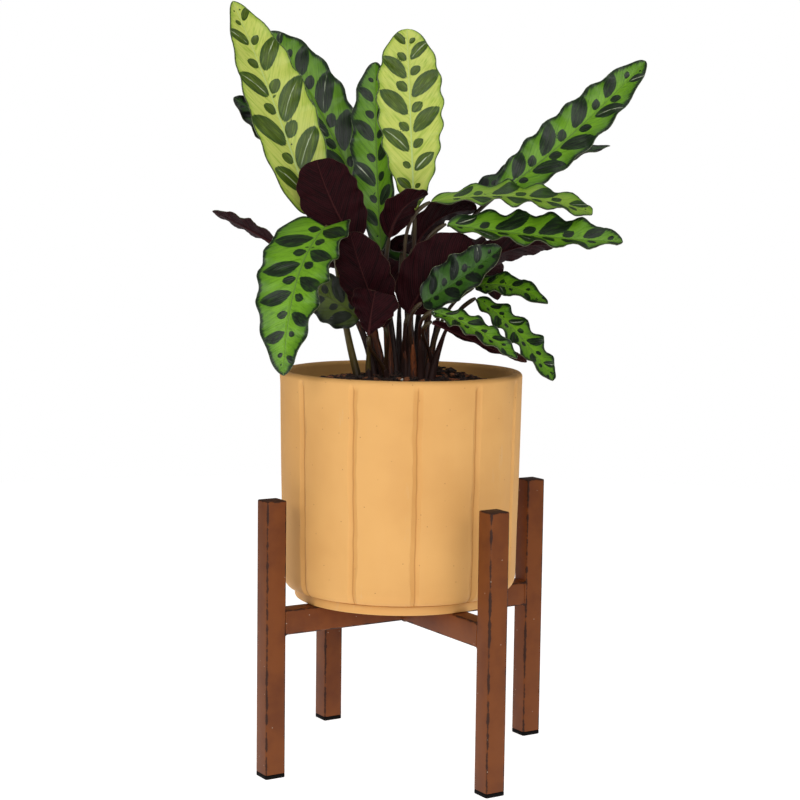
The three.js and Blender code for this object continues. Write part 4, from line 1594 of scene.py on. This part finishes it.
@dataclass
class Stalks:
    """The leaf stalks, which rise from the buried crown and swell just under each blade."""

    leaves: list[Leaf]
    origin: Vector
    crown_depth: float = 6.5
    depth: float = 10.0
    foot_radius: float = 3.2
    radius: float = 1.7
    joint_radius: float = 2.15
    end_radius: float = 1.1
    blade_gap: float = 1.1
    least_rise: float = 0.5
    lean: float = 0.35
    foot_pull: float = 0.5
    top_pull: float = 0.28
    sides: int = 12

    def curve(self, leaf: Leaf) -> tuple[Numbers, ...]:
        """The four control points of a leaf's stalk, in millimetres.

        Args:
            leaf: The leaf.

        Returns:
            The points, from the foot up.
        """
        top = np.array(leaf.base, float)
        leaving = leaf.along(np.array([0.0]))[1][0]
        top = top - leaving * self.blade_gap
        rising = np.array([leaving[0], leaving[1], max(leaving[2], self.least_rise)])
        rising /= np.linalg.norm(rising)
        foot = np.array([*leaf.root, -self.crown_depth - self.depth])
        rise = np.linalg.norm(top - foot)
        bow = np.array([*leaf.bow, 0.0])
        leaning = np.array([leaf.root[0] * self.lean, leaf.root[1] * self.lean, rise * self.foot_pull])
        lower = foot + leaning + bow
        upper = top - rising * rise * self.top_pull + bow
        return foot, lower, upper, top

    def tube(
        self,
        name: str,
        leaf: Leaf,
        radius: Callable[[Numbers], Numbers],
        shares: Pair,
        rings: int,
        torn: float = 0.0,
    ) -> Piece:
        """A closed round tube along part of a leaf's stalk.

        Args:
            name: The piece's name.
            leaf: The leaf.
            radius: Gives the radius in millimetres from shares of the stalk.
            shares: Where the tube starts and ends.
            rings: Faces along.
            torn: How far the end is torn back on one side, as a share of the stalk.

        Returns:
            The tube.
        """
        tube, around, along = unit_grid(name, self.sides, rings + 2)
        row = np.rint(along * (rings + 2)).astype(int)
        step = np.clip(row - 1, 0, rings) / rings
        angle = 2 * np.pi * around
        ragged = 0.5 - 0.5 * np.cos(angle + leaf.seed) + 0.25 * np.cos(2 * np.pi * 3 * around)
        end = shares[1] - torn * np.where(row == rings + 2, 0.5, ragged)
        share = shares[0] + (end - shares[0]) * step
        a, b, c, d = self.curve(leaf)
        t = share[:, None]
        middle = (1 - t) ** 3 * a + 3 * (1 - t) ** 2 * t * b + 3 * (1 - t) * t**2 * c + t**3 * d
        run = (1 - t) ** 2 * (b - a) + 2 * (1 - t) * t * (c - b) + t**2 * (d - c)
        run /= np.linalg.norm(run, axis=1, keepdims=True)
        normal = np.array([0.0, 1.0, 0.0]) - run * run[:, 1:2]
        normal /= np.linalg.norm(normal, axis=1, keepdims=True)
        other = np.cross(run, normal)
        size = np.where((row == 0) | (row == rings + 2), 0.0, radius(share) * leaf.stalk_size)
        points = middle + normal * (size * np.cos(angle))[:, None]
        points += other * (size * np.sin(angle))[:, None]
        move_points(tube, np.array(self.origin) + points * MM)
        set_attribute(tube, "share", share)
        merge_and_face_out(tube)
        return tube

    def stalk_radius(self, share: Numbers) -> Numbers:
        """A stalk's radius in millimetres: thick at the foot, swollen under the blade.

        Args:
            share: Shares of the way up.

        Returns:
            The radii.
        """
        low = self.foot_radius + (self.radius - self.foot_radius) * np.clip(share * 2, 0, 1)
        swell = np.clip((share - 0.76) / 0.08, 0, 1)
        swell = swell * swell * (3 - 2 * swell)
        radius = low + (self.joint_radius - low) * swell
        closing = np.clip((share - 0.94) / 0.06, 0, 1)
        return radius + (self.end_radius - radius) * closing**2

    def build(self) -> None:
        """Builds and dresses the stalks, and the sheaths round their feet."""
        draw = np.random.default_rng(21)
        stalks = []
        sheaths = []
        for leaf in self.leaves:
            stalk = self.tube("stalk_" + leaf.name, leaf, self.stalk_radius, (0.0, 1.0), 44)
            tint = leaf.stalk_tint + draw.uniform(-0.15, 0.15)
            set_attribute(stalk, "tint", tint)
            stalks.append(stalk)
            top = draw.uniform(0.3, 0.48)
            swell = draw.uniform(0.5, 1.1)

            def around_stalk(share: Numbers, top: float = top, swell: float = swell) -> Numbers:
                """The sheath's radius, wide below and close to the stalk at its top."""
                return self.stalk_radius(share) + swell * np.clip(1 - share / top, 0, 1) ** 0.5 + 0.12

            if leaf.stalk_tint > 0.3:
                sheath = self.tube("sheath_" + leaf.name, leaf, around_stalk, (0.0, top), 16, 0.16)
                set_attribute(sheath, "tint", draw.random())
                sheaths.append(sheath)
        skin = StalkSkin().material()
        dress(join_pieces(stalks, "leaf_stalks"), skin, "petiole", "root_crown_and_petioles")
        dress(join_pieces(sheaths, "stalk_sheaths"), DrySheath().material(), "petiole")


@dataclass
class Plant:
    """All the leaves of the plant, on their stalks."""

    pot: Pot
    leaves: list[Leaf] = field(default_factory=list)

    def __post_init__(self) -> None:
        """Sets out the leaves."""
        bright, light, green, deep, olive = LeafTone
        self.leaves = [
            Leaf("tall_left", (-14, -2), (-75, -4, 128), (-107, -2, 218), (-142, 12, 300),
                 (0.45, -1, 0.2), 57, 0.4, 1.15, 14, 7, 1.8, bright, "leaf_bright", wave_other=0.8,
                 broader=0.07, scallop=0.8, marks=4.6, start=0.78, crowd=1.0, slant=39, lens=1.8,
                 glints=0.6),
            Leaf("tall_left_back", (-10, 10), (-38, 32, 148), (-78, 36, 224), (-116, 44, 278),
                 (0.3, -1, 0.2), 54, 0.45, 1.2, 14, 6, 2.2, green, "leaf_green", slant=36,
                 reach_share=0.8, glints=0.8),
            Leaf("far_left", (-17, 8), (-62, 22, 138), (-101, 28, 189), (-143, 34, 223),
                 (0.5, -1, 0.4), 42, 0.42, 1.2, 14, 6, 2.2, deep, "leaf_shade"),
            Leaf("narrow_centre", (-4, 8), (-18, 20, 98), (-23, 18, 181), (-25, 24, 253),
                 (-0.45, -1, 0.1), 42, 0.5, 1.1, 24, 6, 2.4, green, "leaf_shade", slant=42),
            Leaf("tall_centre", (2, 1), (9, 2, 130), (5, -4, 204), (1, 8, 279), (0.05, -1, 0.2), 54,
                 0.6, 1.3, 8, 8, 1.4, bright, "leaf_bright", scallop=1.3, marks=5.2, start=0.75,
                 crowd=1.25, slant=48, lens=1.4, glints=0.3),
            Leaf("young_left", (-8, -4), (-40, -22, 106), (-58, -28, 139), (-70, -34, 171),
                 (-0.1, 1, 0.3), 50, 0.5, 0.75, 10, 5, 1.8, green, "leaf_maroon"),
            Leaf("young_low_left", (-12, -10), (-14, -32, 38), (-29, -42, 74), (-42, -47, 114),
                 (0.25, 1, 0.3), 45, 0.55, 1.1, 10, 5, 1.5, green, "leaf_maroon"),
            Leaf("drooping_left", (-33, 2), (-62, -46, 118), (-83, -76, 74), (-91, -97, 3),
                 (-0.45, -0.6, 0.75), 70, 0.24, 0.8, 8, 6, 1.2, green, "leaf_green",
                 face_tip=(-0.4, -1, 0.2), bow=(-11, 3), glints=0, wave_other=4.2, broader=0.08,
                 sweep=0.42, scallop=1.4, marks=4.8, start=0.45, crowd=1.0, slant=68,
                 reach_share=0.94, lens=1.1, stalk_tint=0.15, stalk_size=1.1),
            Leaf("thin_left", (-21, 2), (-99, 2, 99), (-127, -2, 115), (-156, -8, 129),
                 (0.1, 0.35, 1), 28, 0.5, 1.2, 8, 4, 1, green, "leaf_maroon"),
            Leaf("olive_low_left", (-24, -8), (-34, -20, 44), (-57, -26, 59), (-85, -32, 73),
                 (-0.2, -1, 0.3), 40, 0.42, 1, 8, 4, 1.2, olive, "leaf_green", marks=2.6,
                 stalk_tint=0.4),
            Leaf("young_front", (-10, -18), (-26, -58, 33), (-24, -61, 50), (-21, -63, 68),
                 (0.2, 0.9, -0.3), 40, 0.8, 1.1, 14, 4, 1.5, green, "leaf_maroon", marks=2.6),
            Leaf("curled_centre", (-8, 0), (-11, -4, 110), (0, -16, 134), (20, -16, 145),
                 (0.1, 0.5, 1), 30, 0.5, 1.1, 12, 4, 1.2, green, "leaf_maroon", marks=2.6,
                 stalk_tint=0.9),
            Leaf("curled_right", (6, 6), (11, 14, 104), (32, 16, 127), (61, 20, 132), (0, 0.6, 1), 40,
                 0.5, 1.1, 12, 4, 1.5, green, "leaf_maroon", marks=2.6),
            Leaf("young_right", (4, -8), (6, -26, 49), (27, -34, 82), (58, -36, 105), (0.1, 1, 0.3),
                 53, 0.5, 1, 10, 5, 1.5, green, "leaf_maroon", marks=3.6),
            Leaf("front_right", (10, -17), (17, -46, 59), (46, -54, 79), (78, -60, 104),
                 (-0.2, -0.8, 0.7), 42, 0.42, 0.95, 12, 4, 2, deep, "leaf_shade", marks=3.6, slant=58,
                 lens=1.6),
            Leaf("level_upper", (9, -2), (23, -4, 139), (91, -11, 144), (154, -15, 131),
                 (0.15, -0.42, 1), 44, 0.6, 0.85, 8, 5, 3.4, light, "leaf_bright", marks=4.2,
                 slant=38, lens=1.2),
            Leaf("level_lower", (7, -10), (36, -26, 121), (105, -36, 113), (176, -44, 109),
                 (0, -0.49, 0.87), 50, 0.5, 1.05, 17, 5.5, 3.4, green, "leaf_green", marks=4.2,
                 start=0.45, slant=40, lens=1.2, reach_share=0.94),
            Leaf("tall_right", (15, 8), (79, 20, 146), (138, 24, 195), (199, 28, 257),
                 (-0.15, -1, 0.6), 45, 0.45, 1.0, 14, 7, 2.4, green, "leaf_green", marks=4.8,
                 start=0.93, crowd=1.0, slant=36, lens=1.3),
            Leaf("tall_right_back", (11, 15), (53, 52, 140), (109, 58, 167), (175, 63, 188),
                 (0, -0.3, 1), 44, 0.45, 1.3, 12, 6, 2.2, deep, "leaf_shade"),
            Leaf("under_level", (21, -4), (56, 16, 85), (93, 14, 102), (126, 10, 104), (0.1, 0.8, 1),
                 36, 0.45, 1.1, 8, 4, 1.2, green, "leaf_maroon", marks=3.2),
            Leaf("small_right", (19, -11), (59, -34, 71), (86, -40, 72), (117, -46, 59),
                 (0.15, -0.7, 1), 28, 0.42, 1.1, 8, 3, 2, green, "leaf_shade", marks=3, slant=60,
                 reach_share=0.94),
            Leaf("drooping_right", (23, -14), (60, -44, 62), (93, -54, 35), (121, -66, -1),
                 (0.35, -0.5, 0.8), 34, 0.5, 1, 8, 5, 3, green, "leaf_green", marks=4.4, slant=60,
                 reach_share=0.96, lens=1.2),
            Leaf("low_right", (15, -18), (25, -70, 53), (57, -87, 41), (90, -99, 19), (0.1, -0.35, 1),
                 32, 0.45, 1.05, 8, 5, 2, green, "leaf_shade", marks=3.8, slant=56, reach_share=0.94),
            Leaf("low_right_under", (24, -6), (25, -60, 44), (62, -70, 29), (99, -80, 15),
                 (0.1, 0.5, 1), 28, 0.5, 1.1, 8, 3, 1, green, "leaf_maroon", marks=2.6),
            Leaf("back_left", (-18, 15), (-54, 40, 87), (-77, 66, 86), (-99, 92, 32),
                 (-0.3, 0.8, 0.8), 46, 0.42, 1.1, 8, 5, 2.4, deep, "leaf_shade"),
            Leaf("back_centre", (-2, 18), (-1, 44, 96), (2, 74, 97), (8, 108, 38), (0, 0.9, 0.7), 50,
                 0.42, 1.1, 8, 5, 2.4, deep, "leaf_shade"),
            Leaf("back_right", (18, 16), (32, 34, 88), (57, 62, 96), (83, 92, 54), (0.3, 0.8, 0.8),
                 46, 0.42, 1.1, 8, 5, 2.4, deep, "leaf_shade"),
        ]

    def build(self) -> None:
        """Builds and dresses every blade and stalk."""
        uppers = {tone: LeafUpper(tone).material() for tone in LeafTone}
        under = LeafUnder().material()
        rim = LeafEdge().material()
        origin = self.pot.rim_middle
        Stalks(self.leaves, origin).build()
        for leaf in self.leaves:
            leaf.build_blade(origin, [uppers[leaf.tone], under, rim])


# Studio

@dataclass
class Studio:
    """A plain pale floor, soft light from both sides and above, and the camera at the photograph's
    angle.

    The camera was found from the stand's feet, its leg tops and the pot's rim. Places are in millimetres
    from the middle of the stand, on the floor.
    """

    stand: Stand
    focal_pixels: float = 1891.46
    image_pixels: float = 800
    sensor: float = 36.0
    distance: float = 1561.0
    camera_height: float = 468.47
    pitch_degrees: float = 6.129
    yaw_degrees: float = -0.245
    roll_degrees: float = 0.748
    floor_radius: float = 1.6
    world_level: float = 0.22
    floor_glow: float = 0.75

    def add_camera(self) -> None:
        """The camera, at the photograph's viewing angle."""
        angles = (self.pitch_degrees, self.yaw_degrees, self.roll_degrees)
        pitch, yaw, roll = (math.radians(angle) for angle in angles)
        flat = math.cos(pitch)
        ahead = Vector((math.sin(yaw) * flat, math.cos(yaw) * flat, -math.sin(pitch)))
        level = Vector((math.cos(yaw), -math.sin(yaw), 0))
        above = level.cross(ahead)
        right = level * math.cos(roll) + above * math.sin(roll)
        up = above * math.cos(roll) - level * math.sin(roll)
        place = self.stand.centre + Vector((0, -self.distance, self.camera_height)) * MM
        bpy.ops.object.camera_add(location=place)
        camera = bpy.context.active_object
        turn = Matrix((right, up, -ahead)).transposed()
        camera.matrix_world = Matrix.Translation(place) @ turn.to_4x4()
        camera.data.sensor_width = self.sensor
        camera.data.lens = self.focal_pixels * self.sensor / self.image_pixels
        bpy.context.scene.camera = camera

    def add_light(self, name: str, place: Place, size: float, power: float) -> None:
        """One soft square light that looks at the middle of the plant.

        Args:
            name: The light's name.
            place: Where it stands.
            size: Its side.
            power: Its watts.
        """
        target = Vector((0, 0, 0.34))
        bpy.ops.object.light_add(type="AREA", location=place)
        light = bpy.context.active_object
        light.name = name
        light.data.size = size
        light.data.energy = power
        light.rotation_euler = (target - Vector(place)).to_track_quat("-Z", "Y").to_euler()

    def build(self) -> None:
        """Sets up the floor, the lights, the surroundings and the camera."""
        bpy.ops.object.select_all(action="DESELECT")
        bpy.ops.mesh.primitive_circle_add(vertices=96, radius=self.floor_radius, fill_type="NGON")
        floor = named(bpy.context.active_object, "studio_floor")
        glow = {"glow_colour": linear("#FFFFFF"), "glow": self.floor_glow}
        pale = Shader("studio_floor").finish(linear("#F7F7F6"), 1.0, specular=0.0, **glow)
        floor.data.materials.append(pale)
        floor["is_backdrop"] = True
        self.add_light("light_left", (-1.3, -1.2, 1.1), 0.8, 8)
        self.add_light("light_right", (1.2, -1.3, 1.0), 0.8, 6.5)
        self.add_light("light_front", (0.0, -1.6, 0.98), 0.8, 9.5)
        self.add_light("light_above", (0.1, 0.1, 2.4), 1.4, 7)
        world = bpy.data.worlds.new("studio")
        bpy.context.scene.world = world
        world.use_nodes = True
        tree = world.node_tree
        sky = tree.nodes["Background"]
        sky.inputs["Color"].default_value = (1, 1, 1, 1)
        path = tree.nodes.new("ShaderNodeLightPath")
        level = tree.nodes.new("ShaderNodeMapRange")
        level.inputs["To Min"].default_value = self.world_level
        level.inputs["To Max"].default_value = 1.0
        tree.links.new(path.outputs["Is Camera Ray"], level.inputs["Value"])
        tree.links.new(level.outputs[0], sky.inputs["Strength"])
        bpy.context.scene.view_settings.view_transform = "Standard"
        self.add_camera()


def main() -> None:
    """Builds the whole scene in order."""
    logging.basicConfig(level=logging.INFO, format="%(message)s")
    stand = Stand()
    stand.build()
    pot = Pot()
    pot.build()
    Soil(pot).build()
    Plant(pot).build()
    Studio(stand).build()
    boxes = {"cad": cad_box, "visual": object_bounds()}
    boxes = {name: [list(corner) for corner in box] for name, box in boxes.items()}


if __name__ == "__main__":
    main()
